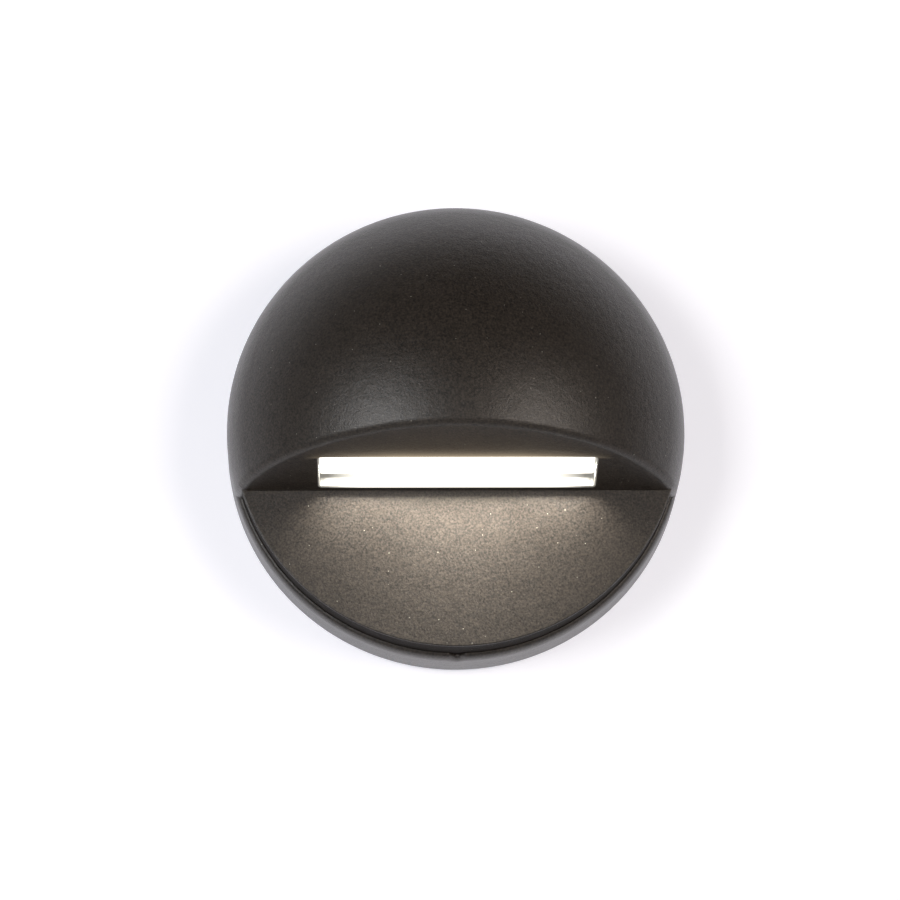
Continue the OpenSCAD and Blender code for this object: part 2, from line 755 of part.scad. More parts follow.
// Set screw with a hexagon socket, its flat tip towards the ear. s is the side it sits on.
module set_screw(s) {
    socket_r = set_r * 0.58;
    color(steel) on_wall() translate([s * set_tip_x, 0, set_h]) rotate([0, s * 90, 0]) difference() {
        union() {
            cylinder(r1 = set_r - 0.5, r2 = set_r, h = 0.5);
            translate([0, 0, 0.5]) cylinder(r = set_r, h = set_l - 0.5);
        }
        translate([0, 0, set_l - set_r]) cylinder(r = socket_r, h = set_r + poke, $fn = 6);
    }
}

module set_screw_left() {
    set_screw(-1);
}

module set_screw_right() {
    set_screw(1);
}

housing();
window_lens();
lens_gasket();
reflector_tray();
led_board();
led_chips();
thermal_pad();
led_bracket();
led_board_screws();
led_bracket_screws();
driver_cup();
driver_board();
driver_components();
driver_screws();
lead_positive();
lead_negative();
rear_cover();
rear_seal();
rear_cover_screws();
cable_gland();
wall_gasket();
mounting_plate();
set_screw_left();
set_screw_right();
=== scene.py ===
"""Dresses a round half-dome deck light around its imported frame.

Lengths are in millimetres and in wall coordinates (x right, y up, z out of the wall) until a surface becomes a mesh.
The frame's own axes are x right, y into the wall and z up, in metres.
"""

import logging
import math
from dataclasses import dataclass
from enum import Enum
from typing import Union

import bmesh
import bpy
import numpy as np
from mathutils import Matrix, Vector


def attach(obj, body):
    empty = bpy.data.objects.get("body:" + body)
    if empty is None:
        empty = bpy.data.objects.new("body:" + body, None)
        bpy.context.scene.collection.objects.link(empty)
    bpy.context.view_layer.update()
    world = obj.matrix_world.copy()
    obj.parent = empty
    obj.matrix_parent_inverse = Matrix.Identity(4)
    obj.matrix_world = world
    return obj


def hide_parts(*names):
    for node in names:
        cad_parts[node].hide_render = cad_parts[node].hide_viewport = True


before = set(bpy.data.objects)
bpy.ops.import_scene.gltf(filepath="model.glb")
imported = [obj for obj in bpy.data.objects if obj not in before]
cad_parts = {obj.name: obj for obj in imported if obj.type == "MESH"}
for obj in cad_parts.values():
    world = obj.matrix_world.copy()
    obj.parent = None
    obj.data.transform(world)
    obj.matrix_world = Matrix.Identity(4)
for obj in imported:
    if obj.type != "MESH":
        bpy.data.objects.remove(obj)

Array = np.ndarray
Rgb = tuple[float, float, float]
Rgba = tuple[float, float, float, float]
Socket = bpy.types.NodeSocket
Value = Union[Socket, float, tuple[float, ...], list[float]]
MM = 0.001
FULL = 2 * math.pi
QUARTER = math.pi / 2
DOWN = 1.5 * math.pi
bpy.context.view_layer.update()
log = logging.getLogger("deck_light")


class Coat(Enum):
    """Places of the casting's materials on its skin."""

    BRONZE = 0
    REVEAL = 1
    BROW = 2
    # Painted shade: the plate's side and the groove at its foot take a darker, duller copy of the bronze, standing in
    # for the shade in the channel.
    STEP = 3


class Body(str, Enum):
    """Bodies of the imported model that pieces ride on."""

    WALL = "wall_mount"
    HEAD = "light_head"


class Grain(Enum):
    """Kinds of surface structure that a finish can have."""

    PLAIN = "plain"
    POWDER = "powder"
    BRUSHED = "brushed"
    TURNED = "turned"
    MOULDED = "moulded"


@dataclass(frozen=True)
class Finish:
    """Colour and structure of one material.

    Attributes:
        color: Linear base colour.
        rough: Mean roughness.
        metal: Metallic share.
        grain: Kind of surface structure.
        grain_mm: Size of the structure's main feature.
        bump: Strength of the structure's relief.
        mottle: Share by which the colour varies.
        rough_swing: Half the range over which the roughness varies.
        coat: Weight of a clear coat.
        sss: Weight of subsurface scattering.
        speckle: Share by which fine grains are lighter or darker.
        speckle_mm: Size of these grains.
        gloss: Specular level.
    """

    color: Rgb
    rough: float
    metal: float = 0.0
    grain: Grain = Grain.PLAIN
    grain_mm: float = 1.0
    bump: float = 0.1
    mottle: float = 0.1
    rough_swing: float = 0.05
    coat: float = 0.0
    sss: float = 0.0
    speckle: float = 0.0
    speckle_mm: float = 0.3
    gloss: float = 0.5


@dataclass(frozen=True)
class HoodSizes:
    """Sizes of the body casting, as in the part's source.

    Attributes:
        base_r: Radius at the back edge.
        height: Height of the hood above the wall.
        shoulder_h: Height at which the rim turns into the hood.
        shoulder_r: Radius of the shoulder arc.
        draft: Draw-in of the rim up to the shoulder.
        foot_z: Height of the rim's lower edge above the wall.
        foot_round: Rounding of that lower edge.
        inner_r: Radius of the recess behind the rim.
        screw_z: Height of the set screws' axes.
        screw_hole_r: Radius of the holes for the set screws.
        screw_play: How far the skin stays back from these holes.
        chamfer_w: Width of the chamfer round them.
        chamfer_h: Depth of that chamfer.
        ring_w: Width of the band of faces round a hole.
    """

    base_r: float = 38.1
    height: float = 38.3
    shoulder_h: float = 12.0
    shoulder_r: float = 14.8
    draft: float = 0.3
    foot_z: float = 0.8
    foot_round: float = 0.25
    inner_r: float = 35.8
    screw_z: float = 4.1
    screw_hole_r: float = 2.06
    screw_play: float = 0.04
    chamfer_w: float = 0.1
    chamfer_h: float = 0.12
    ring_w: float = 1.2


@dataclass(frozen=True)
class FaceSizes:
    """Sizes of the open lower part of the casting: brow wall, window, plate, ledge and notch.

    Attributes:
        plate_h: Height of the flat plate above the wall.
        plate_round: Rounding of the plate's edge.
        ledge_h: Height of the ledge round the plate.
        ledge_w: Distance from the rim's surface in to the plate's side.
        rim_wide: Width of the rounding on the rim, which is a quarter of an ellipse.
        rim_high: Height of that rounding.
        rim_at_notch: Share of that height that is left in the notch.
        cove: Rounding at the foot of the plate's side.
        notch_w: Width of the notch at the lowest point.
        notch_h: Depth of the notch.
        wall_foot: Distance from the light's axis down to the foot of the brow wall.
        wall_lean: Lean of the brow wall in degrees.
        wall_t: Thickness of the brow wall.
        reveal_t: Depth of the window's sides.
        window_w: Width of the window.
        window_h: Height of the window along the wall.
        window_rise: Height of the window's lower edge over the plate.
        window_r: Radius of the window's corners.
        window_edge: Rounding of the window's edge.
        brow_round: Rounding of the brow's lip.
        brow_bend: How far the lip comes forward of the wall in the middle.
        bend_power: Power of the sine by which that bend falls to nothing at the ends.
        open_from_z: Height at which the open part starts, above the screw holes.
        plate_under: How far the plate runs on behind the foot of the brow wall.
    """

    plate_h: float = 16.4
    plate_round: float = 0.25
    ledge_h: float = 10.3
    ledge_w: float = 1.05
    rim_wide: float = 0.95
    rim_high: float = 2.2
    rim_at_notch: float = 0.6
    cove: float = 0.06
    notch_w: float = 3.2
    notch_h: float = 1.4
    wall_foot: float = 11.0
    wall_lean: float = 17.5
    wall_t: float = 2.0
    reveal_t: float = 2.55
    window_w: float = 44.8
    window_h: float = 9.3
    window_rise: float = 1.25
    window_r: float = 0.5
    window_edge: float = 0.25
    brow_round: float = 1.7
    brow_bend: float = 0.5
    bend_power: int = 6
    open_from_z: float = 6.8
    plate_under: float = 0.4


@dataclass(frozen=True)
class SolidEdges:
    """Roundings and notch of the solid, whose outer faces make way for the skin.

    Attributes:
        ledge_h: Height of the ledge.
        ledge_w: Distance from the rim's surface in to the plate's side.
        plate_round: Rounding of the plate's edge.
        rim_round: Rounding of the rim's edge.
        notch_w: Width of the notch.
        notch_h: Depth of the notch.
        tiny: Tolerance when a corner is looked for on one of these faces.
        notch_slack: Tolerance for the notch's floor.
    """

    ledge_h: float = 9.6
    ledge_w: float = 1.05
    plate_round: float = 0.7
    rim_round: float = 0.7
    notch_w: float = 1.6
    notch_h: float = 2.4
    tiny: float = 0.02
    notch_slack: float = 0.1


@dataclass(frozen=True)
class Density:
    """Rows and columns of the skin's grids, and where they run past their neighbours.

    Attributes:
        hood: Rows from the hood's top to its edge.
        crowding: Power that spaces these rows.
        side_step_deg: Angle between the columns round the closed side.
        brow: Columns along the brow.
        lip: Rows over the rounding of the brow's lip.
        ends: Rows down each straight end of the brow wall.
        wall: Rows from the brow to the window.
        window_foot: Columns from the window down to the plate.
        corner: Columns that are added at each corner of the window.
        corner_spread: Angle over which these columns lie, to each side.
        reveal: Rows over the rounding of the window's edge.
        wedge: Columns between the brow's end and the closed side.
        side: Rows up the closed side.
        side_shares: Places of the rows up the open side, as shares of its height.
        foot: Rows over the rounding of the foot.
        notch: Columns across the notch.
        notch_margin: Half widths of the notch that these columns cover.
        turn: Rows over the roundings of rim, cove and plate.
        plate: Rows across the plate.
        overlap_deg: Angles by which the open side runs on behind the closed one.
        tuck: How far it dives under the closed side there.
        tuck_deg: Angle over which it does so.
    """

    hood: int = 72
    crowding: float = 0.9
    side_step_deg: float = 1.0
    brow: int = 221
    lip: int = 11
    ends: int = 12
    wall: int = 14
    window_foot: int = 90
    corner: int = 15
    corner_spread: float = 0.02
    reveal: int = 6
    wedge: int = 7
    side: int = 15
    side_shares: tuple[float, ...] = (0, 0.34, 0.67, 1)
    foot: int = 6
    notch: int = 35
    notch_margin: float = 1.7
    turn: int = 12
    plate: int = 24
    overlap_deg: tuple[float, ...] = (0.8, 1.6, 2.4, 3.2)
    tuck: float = 0.02
    tuck_deg: float = 3.0


def turned(theta: Array, r: Array | float, z: Array | float) -> Array:
    """Vectors (r cos theta, r sin theta, z), for points and for normals of surfaces of revolution."""
    return np.stack(np.broadcast_arrays(r * np.cos(theta), r * np.sin(theta), z), -1)


class Hood:
    """The hood's outer surface: a crown arc, a shoulder arc and a drafted rim, turned about the light's axis."""

    def __init__(self, sizes: HoodSizes) -> None:
        """Works out the arcs.

        The crown's centre lies on the axis, drop below the shoulder's height. With rise = height - shoulder_h and
        a = rise - shoulder_r, the arcs share a tangent where drop = (shoulder_x^2 - a^2) / (2 a).

        Args:
            sizes: Sizes of the casting.
        """
        self.sizes = sizes
        self.rim_top_r = sizes.base_r - sizes.draft
        self.shoulder_x = self.rim_top_r - sizes.shoulder_r
        rise = sizes.height - sizes.shoulder_h
        drop = (self.shoulder_x**2 - (rise - sizes.shoulder_r) ** 2) / (2 * (rise - sizes.shoulder_r))
        self.crown_r = rise + drop
        self.crown_z = sizes.shoulder_h - drop
        self.blend = QUARTER - math.atan2(drop, self.shoulder_x)
        self.s_crown = self.crown_r * self.blend
        self.s_shoulder = self.s_crown + sizes.shoulder_r * (QUARTER - self.blend)

    def rim_r(self, z: Array | float) -> Array | float:
        """Radius of the drafted rim at height z."""
        return self.sizes.base_r - self.sizes.draft * z / self.sizes.shoulder_h

    def at(self, s: Array) -> tuple[Array, Array, Array, Array]:
        """The profile at lengths s from its top.

        On an arc the point is its centre plus the radius times (sin g, cos g), where g is the angle from the axis.
        On the rim it goes straight down along the draft.

        Args:
            s: Lengths along the profile.

        Returns:
            Radius, height, and the outward and upward parts of the normal.
        """
        k = self.sizes
        g1 = s / self.crown_r
        g2 = self.blend + (s - self.s_crown) / k.shoulder_r
        down = s - self.s_shoulder
        lean = math.hypot(k.draft / k.shoulder_h, 1)
        on_crown, on_arc = s <= self.s_crown, s <= self.s_shoulder
        r = np.where(on_crown, self.crown_r * np.sin(g1), self.shoulder_x + k.shoulder_r * np.sin(g2))
        r = np.where(on_arc, r, self.rim_top_r + down / lean * k.draft / k.shoulder_h)
        z = np.where(on_crown, self.crown_z + self.crown_r * np.cos(g1), k.shoulder_h + k.shoulder_r * np.cos(g2))
        z = np.where(on_arc, z, k.shoulder_h - down / lean)
        nr = np.where(on_crown, np.sin(g1), np.where(on_arc, np.sin(g2), 1.0))
        nz = np.where(on_crown, np.cos(g1), np.where(on_arc, np.cos(g2), 0.0))
        return r, z, nr, nz

    def s_of(self, r: Array, z: Array) -> Array:
        """Length along the profile of the surface point nearest to a place: its radius times its angle on each arc.

        Args:
            r: Distances from the axis.
            z: Heights.

        Returns:
            The lengths.
        """
        k = self.sizes
        g1 = np.arctan2(r, z - self.crown_z)
        g2 = np.arctan2(r - self.shoulder_x, z - k.shoulder_h)
        lean = math.hypot(k.draft / k.shoulder_h, 1)
        s = np.where(g1 <= self.blend, self.crown_r * g1, self.s_crown + k.shoulder_r * (g2 - self.blend))
        return np.where(g2 > QUARTER, self.s_shoulder + (k.shoulder_h - z) * lean, s)

    def depth(self, p: Array) -> Array:
        """Distance of points from the surface: that from an arc's centre less its radius, or from the drafted rim.

        Args:
            p: Points in wall coordinates.

        Returns:
            The distances, negative inside.
        """
        k = self.sizes
        r, z = np.hypot(p[..., 0], p[..., 1]), p[..., 2]
        crown = np.hypot(r, z - self.crown_z) - self.crown_r
        arc = np.hypot(r - self.shoulder_x, z - k.shoulder_h) - k.shoulder_r
        out = np.where(np.arctan2(r, z - self.crown_z) <= self.blend, crown, arc)
        return np.where(z < k.shoulder_h, r - self.rim_r(z), out)

    def grid(self, theta: Array, s: Array) -> tuple[Array, Array]:
        """Points and normals of the surface of revolution.

        Args:
            theta: Angles about the light's axis.
            s: Lengths along the profile, which broadcast with them.

        Returns:
            The points and the normals.
        """
        r, z, nr, nz = self.at(s)
        return turned(theta, r, z), turned(theta, nr, nz)


def to_frame(p: Array) -> Array:
    """Wall coordinates to the frame's axes, without a change of scale."""
    return np.stack([p[..., 0], -p[..., 2], p[..., 1]], -1)


def unit(v: Array) -> Array:
    """Vectors scaled to length one."""
    return v / np.maximum(np.linalg.norm(v, axis=-1, keepdims=True), 1e-12)


def put_in_scene(name: str, data: bpy.types.ID) -> bpy.types.Object:
    """Makes an object and links it into the scene.

    Args:
        name: Name of the object.
        data: Its mesh, light or camera.

    Returns:
        The object.
    """
    obj = bpy.data.objects.new(name, data)
    bpy.context.scene.collection.objects.link(obj)
    return obj


def cross(u: Array, v: Array) -> Array:
    """Cross product of vectors in the plane."""
    return u[..., 0] * v[..., 1] - u[..., 1] * v[..., 0]


def ray_to(loop: Array, d: Array) -> Array:
    """Distance from the origin along each direction to a closed line round it.

    A ray t d meets the side from a to b where t = (a x (b - a)) / (d x (b - a)), if the meeting point lies
    between a and b.

    Args:
        loop: Corners of the line, the first one again at the end.
        d: Unit directions.

    Returns:
        The distances.
    """
    a, b = loop[:-1], loop[1:]
    den = cross(d[:, None], (b - a)[None])
    den = np.where(np.abs(den) < 1e-12, 1e-12, den)
    t = cross(a[None], (b - a)[None]) / den
    u = cross(a[None], d[:, None]) / den
    hit = (u >= -1e-6) & (u <= 1 + 1e-6) & (t > 0)
    return np.where(hit, t, np.inf).min(1)


@dataclass(frozen=True)
class RoundedRect:
    """A rectangle with round corners about the origin of a plane.

    Attributes:
        half_w: Half of its width.
        half_h: Half of its height.
        r: Radius of its corners.
    """

    half_w: float
    half_h: float
    r: float

    def grown(self, by: float) -> "RoundedRect":
        """The same rectangle, larger by an even margin."""
        return RoundedRect(self.half_w + by, self.half_h + by, self.r + by)

    def along(self, d: Array) -> Array:
        """Points of the outline along unit directions d.

        On a straight side the distance is the half width or half height over the direction's own part. In a
        corner with centre c it is d.c plus the root of (d.c)^2 - |c|^2 + r^2.

        Args:
            d: Unit directions.

        Returns:
            The points.
        """
        ax, ay = np.abs(d[:, 0]), np.abs(d[:, 1])
        t = np.minimum(self.half_w / np.maximum(ax, 1e-9), self.half_h / np.maximum(ay, 1e-9))
        cx, cy = self.half_w - self.r, self.half_h - self.r
        in_corner = (t * ax > cx) & (t * ay > cy)
        b = ax * cx + ay * cy
        under_root = np.maximum(b * b - (cx * cx + cy * cy - self.r * self.r), 0)
        return np.where(in_corner, b + np.sqrt(under_root), t)[:, None] * d

    def normals(self, d: Array) -> Array:
        """Outward normals of the outline along unit directions.

        In a corner the normal points away from the corner's centre, and elsewhere straight out of the side.

        Args:
            d: Unit directions.

        Returns:
            The normals.
        """
        p = self.along(d)
        q = np.maximum(np.abs(p) - [self.half_w - self.r, self.half_h - self.r], 0)
        return unit(np.where(q.sum(1, keepdims=True) > 0, q, 1e-6) * np.sign(p))


class Skin:
    """Collects grids of points with normals, and makes one mesh object of them."""

    def __init__(self) -> None:
        """Starts with no grid."""
        self._p: list[Array] = []
        self._n: list[Array] = []
        self._f: list[Array] = []
        self._slot: list[Array] = []
        self._count = 0

    def add(self, p: Array, n: Array, close: bool = False, keep: Array | None = None, slot: int = 0) -> None:
        """Adds a grid of shape (rows, columns, 3).

        Args:
            p: Points in wall coordinates.
            n: Outward normals.
            close: Whether the last column joins the first.
            keep: Which cells of the grid get a face.
            slot: Number of the faces' material.
        """
        rows, cols = p.shape[:2]
        i, j = np.meshgrid(np.arange(rows - 1), np.arange(cols if close else cols - 1), indexing="ij")
        k = (j + 1) % cols
        quads = np.stack([i * cols + j, i * cols + k, (i + 1) * cols + k, (i + 1) * cols + j], -1)
        quads = (quads if keep is None else quads[keep]).reshape(-1, 4)
        flat, nor = p.reshape(-1, 3), n.reshape(-1, 3)
        a, b, c, d = (flat[quads[:, m]] for m in range(4))
        side = np.cross(c - a, d - b)
        area = np.linalg.norm(side, axis=-1)
        flip = (side * nor[quads].sum(1)).sum(-1) < 0
        quads = np.where(flip[:, None], quads[:, ::-1], quads)[area > 1e-9]
        self._p.append(flat)
        self._n.append(nor)
        self._f.append(quads + self._count)
        self._slot.append(np.full(len(quads), slot))
        self._count += len(flat)

    def build(self, name: str, materials: list[bpy.types.Material]) -> bpy.types.Object:
        """Makes the mesh object, in the frame's axes and in metres.

        Args:
            name: Name of the object.
            materials: The materials, one for each slot.

        Returns:
            The object.
        """
        p = to_frame(np.concatenate(self._p)) * MM
        n = unit(to_frame(np.concatenate(self._n)))
        quads = np.concatenate(self._f)
        used, quads = np.unique(quads, return_inverse=True)
        p, n, quads = p[used], n[used], quads.reshape(-1, 4)
        mesh = bpy.data.meshes.new(name)
        mesh.from_pydata(p.tolist(), [], [list(dict.fromkeys(q)) for q in quads.tolist()])
        mesh.update()
        mesh.shade_smooth()
        mesh.normals_split_custom_set_from_vertices(n.tolist())
        for mat in materials:
            mesh.materials.append(mat)
        mesh.polygons.foreach_set("material_index", np.concatenate(self._slot).astype(np.int32))
        log.info("%s: %d points, %d faces", name, len(p), len(quads))
        return put_in_scene(name, mesh)


class Housing:
    """The casting: an outer skin with its real roundings, and the inner faces of the CAD solid."""

    # Bounds and steps of the search for the lip's place along a ray.
    NEAREST, FARTHEST, HALVINGS = 5.0, 60.0, 60

    def __init__(self, hood: Hood, face: FaceSizes, edges: SolidEdges) -> None:
        """Works out the brow wall's directions and the path of its lip.

        Args:
            hood: The hood's outer surface.
            face: Sizes of the open part.
            edges: Roundings and notch of the CAD solid.
        """
        self.hood, self.face, self.edges = hood, face, edges
        self.density = Density()
        lean = math.radians(face.wall_lean)
        self.up = np.array([0.0, math.sin(lean), math.cos(lean)])
        self.out = np.array([0.0, -math.cos(lean), math.sin(lean)])
        self.foot = np.array([0.0, -face.wall_foot, face.plate_h])
        self.skin = Skin()
        self._solve_brow()

    def _solve_brow(self) -> None:
        """Finds the path of a ball that touches both the hood and the brow wall from inside.

        Above the plate the wall leans, and beside the plate it goes straight down to the ledge. Over the plate the
        path comes forward by brow_bend times 1 less a power of the sine of its angle from the middle.
        """
        f = self.face
        r = f.brow_round
        lean = math.radians(f.wall_lean)
        turn_z = f.plate_h - r * math.tan(lean / 2)
        corner = np.array([0.0, r - f.wall_foot, turn_z])
        phi = np.linspace(-QUARTER, QUARTER, self.density.brow)
        bend = f.brow_bend * (1 - np.abs(np.sin(phi)) ** f.bend_power)[:, None]
        rays = np.sin(phi)[:, None] * [1.0, 0, 0] + np.cos(phi)[:, None] * self.up
        upper = self._reach(corner + bend * self.out, rays)
        z = np.linspace(f.open_from_z, turn_z, self.density.ends)[:, None]
        right = self._reach(corner * [1, 1, 0] + z * [0.0, 0, 1], np.array([[1.0, 0, 0]]))
        self.centre = np.concatenate([right * [-1, 1, 1], upper, right[::-1]])
        straight = np.broadcast_to([0.0, -1.0, 0.0], right.shape)
        self.facing = np.concatenate([straight, np.broadcast_to(self.out, upper.shape), straight])
        rad, z = np.hypot(self.centre[:, 0], self.centre[:, 1]), self.centre[:, 2]
        self.brow_s = self.hood.s_of(rad, z)
        self.brow_theta = np.arctan2(self.centre[:, 1], self.centre[:, 0])
        self.split_z = float(self.hood.at(self.brow_s)[1][0])

    def _reach(self, base: Array, ray: Array) -> Array:
        """Points on rays where the ball inside touches the hood, found by halving.

        Args:
            base: Starts of the rays.
            ray: Their directions.

        Returns:
            The points.
        """
        low, high = np.full(len(ray + base), self.NEAREST), np.full(len(ray + base), self.FARTHEST)
        for _ in range(self.HALVINGS):
            mid = (low + high) / 2
            inside = self.hood.depth(base + mid[:, None] * ray) < -self.face.brow_round
            low, high = np.where(inside, mid, low), np.where(inside, high, mid)
        return base + low[:, None] * ray

    def build_skin(self, materials: list[bpy.types.Material]) -> bpy.types.Object:
        """Adds every patch and makes the object.

        Args:
            materials: The materials, in the order of Coat.

        Returns:
            The outer skin.
        """
        self._hood_and_brow()
        self._side()
        self._open_part()
        self._wall()
        self._wall_ends()
        return self.skin.build("housing_shell", materials)

    def _hood_and_brow(self) -> None:
        """The hood from its top to the closed side and to the brow, and the rounding of the brow's lip.

        The lip turns from the hood's normal a to the wall's normal b: its points are the path plus the ball's radius
        times (sin((1 - t) w) a + sin(t w) b) / sin w, where w is the angle between them.
        """
        hood, grid = self.hood, self.density
        t = np.linspace(0, 1, grid.hood)[:, None] ** grid.crowding
        theta, s = self.brow_theta, self.brow_s
        far = int(np.argmin(theta[: len(theta) // 2]))
        mirror = len(theta) - far
        left, right = theta[far] % FULL, theta[mirror - 1]
        back = np.linspace(right, left, 1 + int(math.degrees(left - right) / grid.side_step_deg))
        p, nor = hood.grid(back[None, :], t * s[0])
        self.skin.add(p, nor)
        p, nor = hood.grid(theta[None, far:mirror], t * s[None, far:mirror])
        self.skin.add(p, nor)
        share = np.linspace(0, 1, grid.wedge)[:, None]
        for part, edge in ((slice(0, far + 1), theta[far]), (slice(mirror - 1, None), right)):
            p, nor = hood.grid(theta[None, part] * (1 - share) + edge * share, s[None, part])
            self.skin.add(p, nor)
        wedge = np.linspace(theta[far], theta[0], grid.wedge)[1:] % FULL
        self.closed_theta = np.concatenate([math.pi - wedge[::-1], back, wedge])
        turn = np.linspace(0, 1, grid.lip)[:, None, None]
        rim = hood.grid(theta, s)[1]
        a, b = rim[None], self.facing[None]
        angle = np.arccos(np.clip((a * b).sum(-1, keepdims=True), -1, 1))
        arc = (np.sin((1 - turn) * angle) * a + np.sin(turn * angle) * b) / np.sin(angle)
        self.skin.add(self.centre[None] + self.face.brow_round * arc, arc)

    def _side(self) -> None:
        """The rim up to the height where the open part starts, with the two screw holes and the foot's rounding."""
        hood, k, grid = self.hood, self.hood.sizes, self.density
        self.open_theta = self._open_columns()
        theta = np.concatenate([self.closed_theta, self.open_theta[1:-1]])
        top, low = self.split_z, k.foot_z + k.foot_round
        z = np.linspace(top, low, grid.side)
        p = turned(theta, hood.rim_r(z)[:, None], z[:, None])
        nor = turned(theta, np.ones((len(z), 1)), 0.0)
        keep = np.ones((len(z) - 1, len(theta)), bool)
        for angle in (0.0, math.pi):
            keep &= ~self._ring(theta, z, angle)
        self.skin.add(p, nor, close=True, keep=keep)
        turn = np.linspace(0, QUARTER, grid.foot)[:, None]
        rc = hood.rim_r(low) - k.foot_round
        rr, zz = rc + k.foot_round * np.cos(turn), low - k.foot_round * np.sin(turn)
        rr, zz = np.vstack([rr, [[k.inner_r]]]), np.vstack([zz, [[k.foot_z]]])
        nr, nz = np.vstack([np.cos(turn), [[0.0]]]), np.vstack([-np.sin(turn), [[-1.0]]])
        self.skin.add(turned(theta, rr, zz), turned(theta, nr, nz), close=True)

    def _ring(self, theta: Array, z: Array, angle: float) -> Array:
        """Fills the cells round a screw hole with a ring of faces, between the cells' outline and the hole's circle.

        Args:
            theta: Angles of the side's columns.
            z: Heights of its rows.
            angle: Angle of the hole's axis.

        Returns:
            Which cells the ring takes.
        """
        hood, k = self.hood, self.hood.sizes
        reach, height = k.screw_hole_r + k.ring_w, k.screw_z
        off = (theta - angle + math.pi) % FULL - math.pi
        y_off = np.abs(off) * k.base_r
        cols = np.nonzero(y_off < reach)[0]
        cols = cols[np.argsort(off[cols])]
        rows = np.nonzero(np.abs(z - height) < reach)[0]
        taken = np.zeros((len(z) - 1, len(theta)), bool)
        for j in cols[:-1] if off[cols[1]] > off[cols[0]] else cols[1:]:
            taken[rows[:-1], j] = True
        a, b = off[cols], z[rows]
        loop = [(x, b[0]) for x in a] + [(a[-1], y) for y in b[1:]]
        loop += [(x, b[-1]) for x in a[-2::-1]] + [(a[0], y) for y in b[-2::-1]]
        loop = np.array(loop)
        way = np.arctan2(loop[:, 1] - height, loop[:, 0] * k.base_r)
        points, normals = [], []
        mouth = k.screw_hole_r + k.screw_play
        edge = mouth + k.chamfer_w
        for share, hole_r, sunk in ((1.0, edge, 0.0), (0.5, edge, 0.0), (0.0, edge, 0.0), (0.0, mouth, k.chamfer_h)):
            y = share * loop[:, 0] * k.base_r + (1 - share) * hole_r * np.cos(way)
            zz = share * loop[:, 1] + (1 - share) * (height + hole_r * np.sin(way))
            th = angle + (loop[:, 0] if share == 1.0 else np.arcsin(y / hood.rim_r(zz)))
            points.append(turned(th, hood.rim_r(zz) - sunk, zz))
            normals.append(turned(th, 1.0, 0.0))
        self.skin.add(np.array(points), np.array(normals))
        return taken

    def _open_columns(self) -> Array:
        """Angles of the columns round the open part, close together across the notch.

        Returns:
            The angles, from left to right through the lowest point.
        """
        left, right = self.closed_theta[-1], self.closed_theta[0] + FULL
        grid = self.density
        across = np.linspace(-grid.notch_margin, grid.notch_margin, grid.notch)
        near = DOWN + across * self.face.notch_w / 2 / self.hood.sizes.base_r
        steps = int(math.degrees(near[0] - left) / grid.side_step_deg)
        first, last = np.linspace(left, near[0], steps + 1), np.linspace(near[-1], right, steps + 1)
        return np.concatenate([first[:-1], near, last[1:]])

    def _open_part(self) -> None:
        """Rim, ledge with its notch, step and plate, from the side up to the brow wall.

        The ledge's height drops in the notch by notch_h times (1 + cos(pi x / half width)) / 2.
        """
        hood, f, grid = self.hood, self.face, self.density
        extra = np.radians(grid.overlap_deg)
        th = np.concatenate([self.open_theta[0] - extra[::-1], self.open_theta, self.open_theta[-1] + extra])
        from_end = np.minimum(th - self.open_theta[0], self.open_theta[-1] - th)
        tuck = grid.tuck * np.clip(1 - from_end / math.radians(grid.tuck_deg), 0, 1)
        plate_r = hood.rim_r(f.ledge_h) - f.ledge_w
        x = hood.rim_r(f.ledge_h) * (th - DOWN)
        cut = 0.5 + 0.5 * np.cos(math.pi * np.clip(2 * x / f.notch_w, -1, 1))
        level = f.ledge_h - f.notch_h * cut
        rw, rr = f.rim_wide, f.rim_high * (1 - (1 - f.rim_at_notch) * cut)
        low = np.full_like(th, self.split_z)
        heights = [low + t * (level - rr - low) for t in grid.side_shares]
        self._revolved(th, [(hood.rim_r(z) - tuck, z) for z in heights], [(1.0, 0.0)] * len(heights))
        rc, zc = hood.rim_r(level - rr) - tuck - rw, level - rr
        turn = np.linspace(0, QUARTER, grid.turn)
        arc = [(rc + rw * math.cos(a), zc + rr * math.sin(a)) for a in turn]
        self._revolved(th, arc, [(math.cos(a) * f.rim_high, math.sin(a) * rw) for a in turn])
        ends = [(rc, level), (np.full_like(th, plate_r + f.cove), level)]
        self._revolved(th, ends, [(0.0, 1.0)] * 2)
        groove = [(plate_r + f.cove * (1 - math.sin(a)), level + f.cove * (1 - math.cos(a))) for a in turn]
        groove.append((np.full_like(th, plate_r), np.full_like(th, f.plate_h - f.plate_round)))
        # The plate's side and the groove get the darker bronze: painted shade of the channel round the plate.
        self._revolved(th, groove, [(math.sin(a), math.cos(a)) for a in turn] + [(1.0, 0.0)], Coat.STEP)
        pr = f.plate_round
        rim_r = plate_r - pr
        edge = [
            (np.full_like(th, rim_r + pr * math.cos(a)), np.full_like(th, f.plate_h - pr + pr * math.sin(a)))
            for a in turn
        ]
        self._revolved(th, edge, [(math.cos(a), math.sin(a)) for a in turn])
        rim = np.stack([rim_r * np.cos(th), rim_r * np.sin(th)], -1)
        far = np.maximum(rim[:, 1], f.plate_under - f.wall_foot)
        t = np.linspace(0, 1, grid.plate)[:, None]
        y = rim[None, :, 1] * (1 - t) + far[None] * t
        p = np.stack(np.broadcast_arrays(rim[None, :, 0], y, f.plate_h), -1)
        self.skin.add(p, np.broadcast_to([0.0, 0.0, 1.0], p.shape))

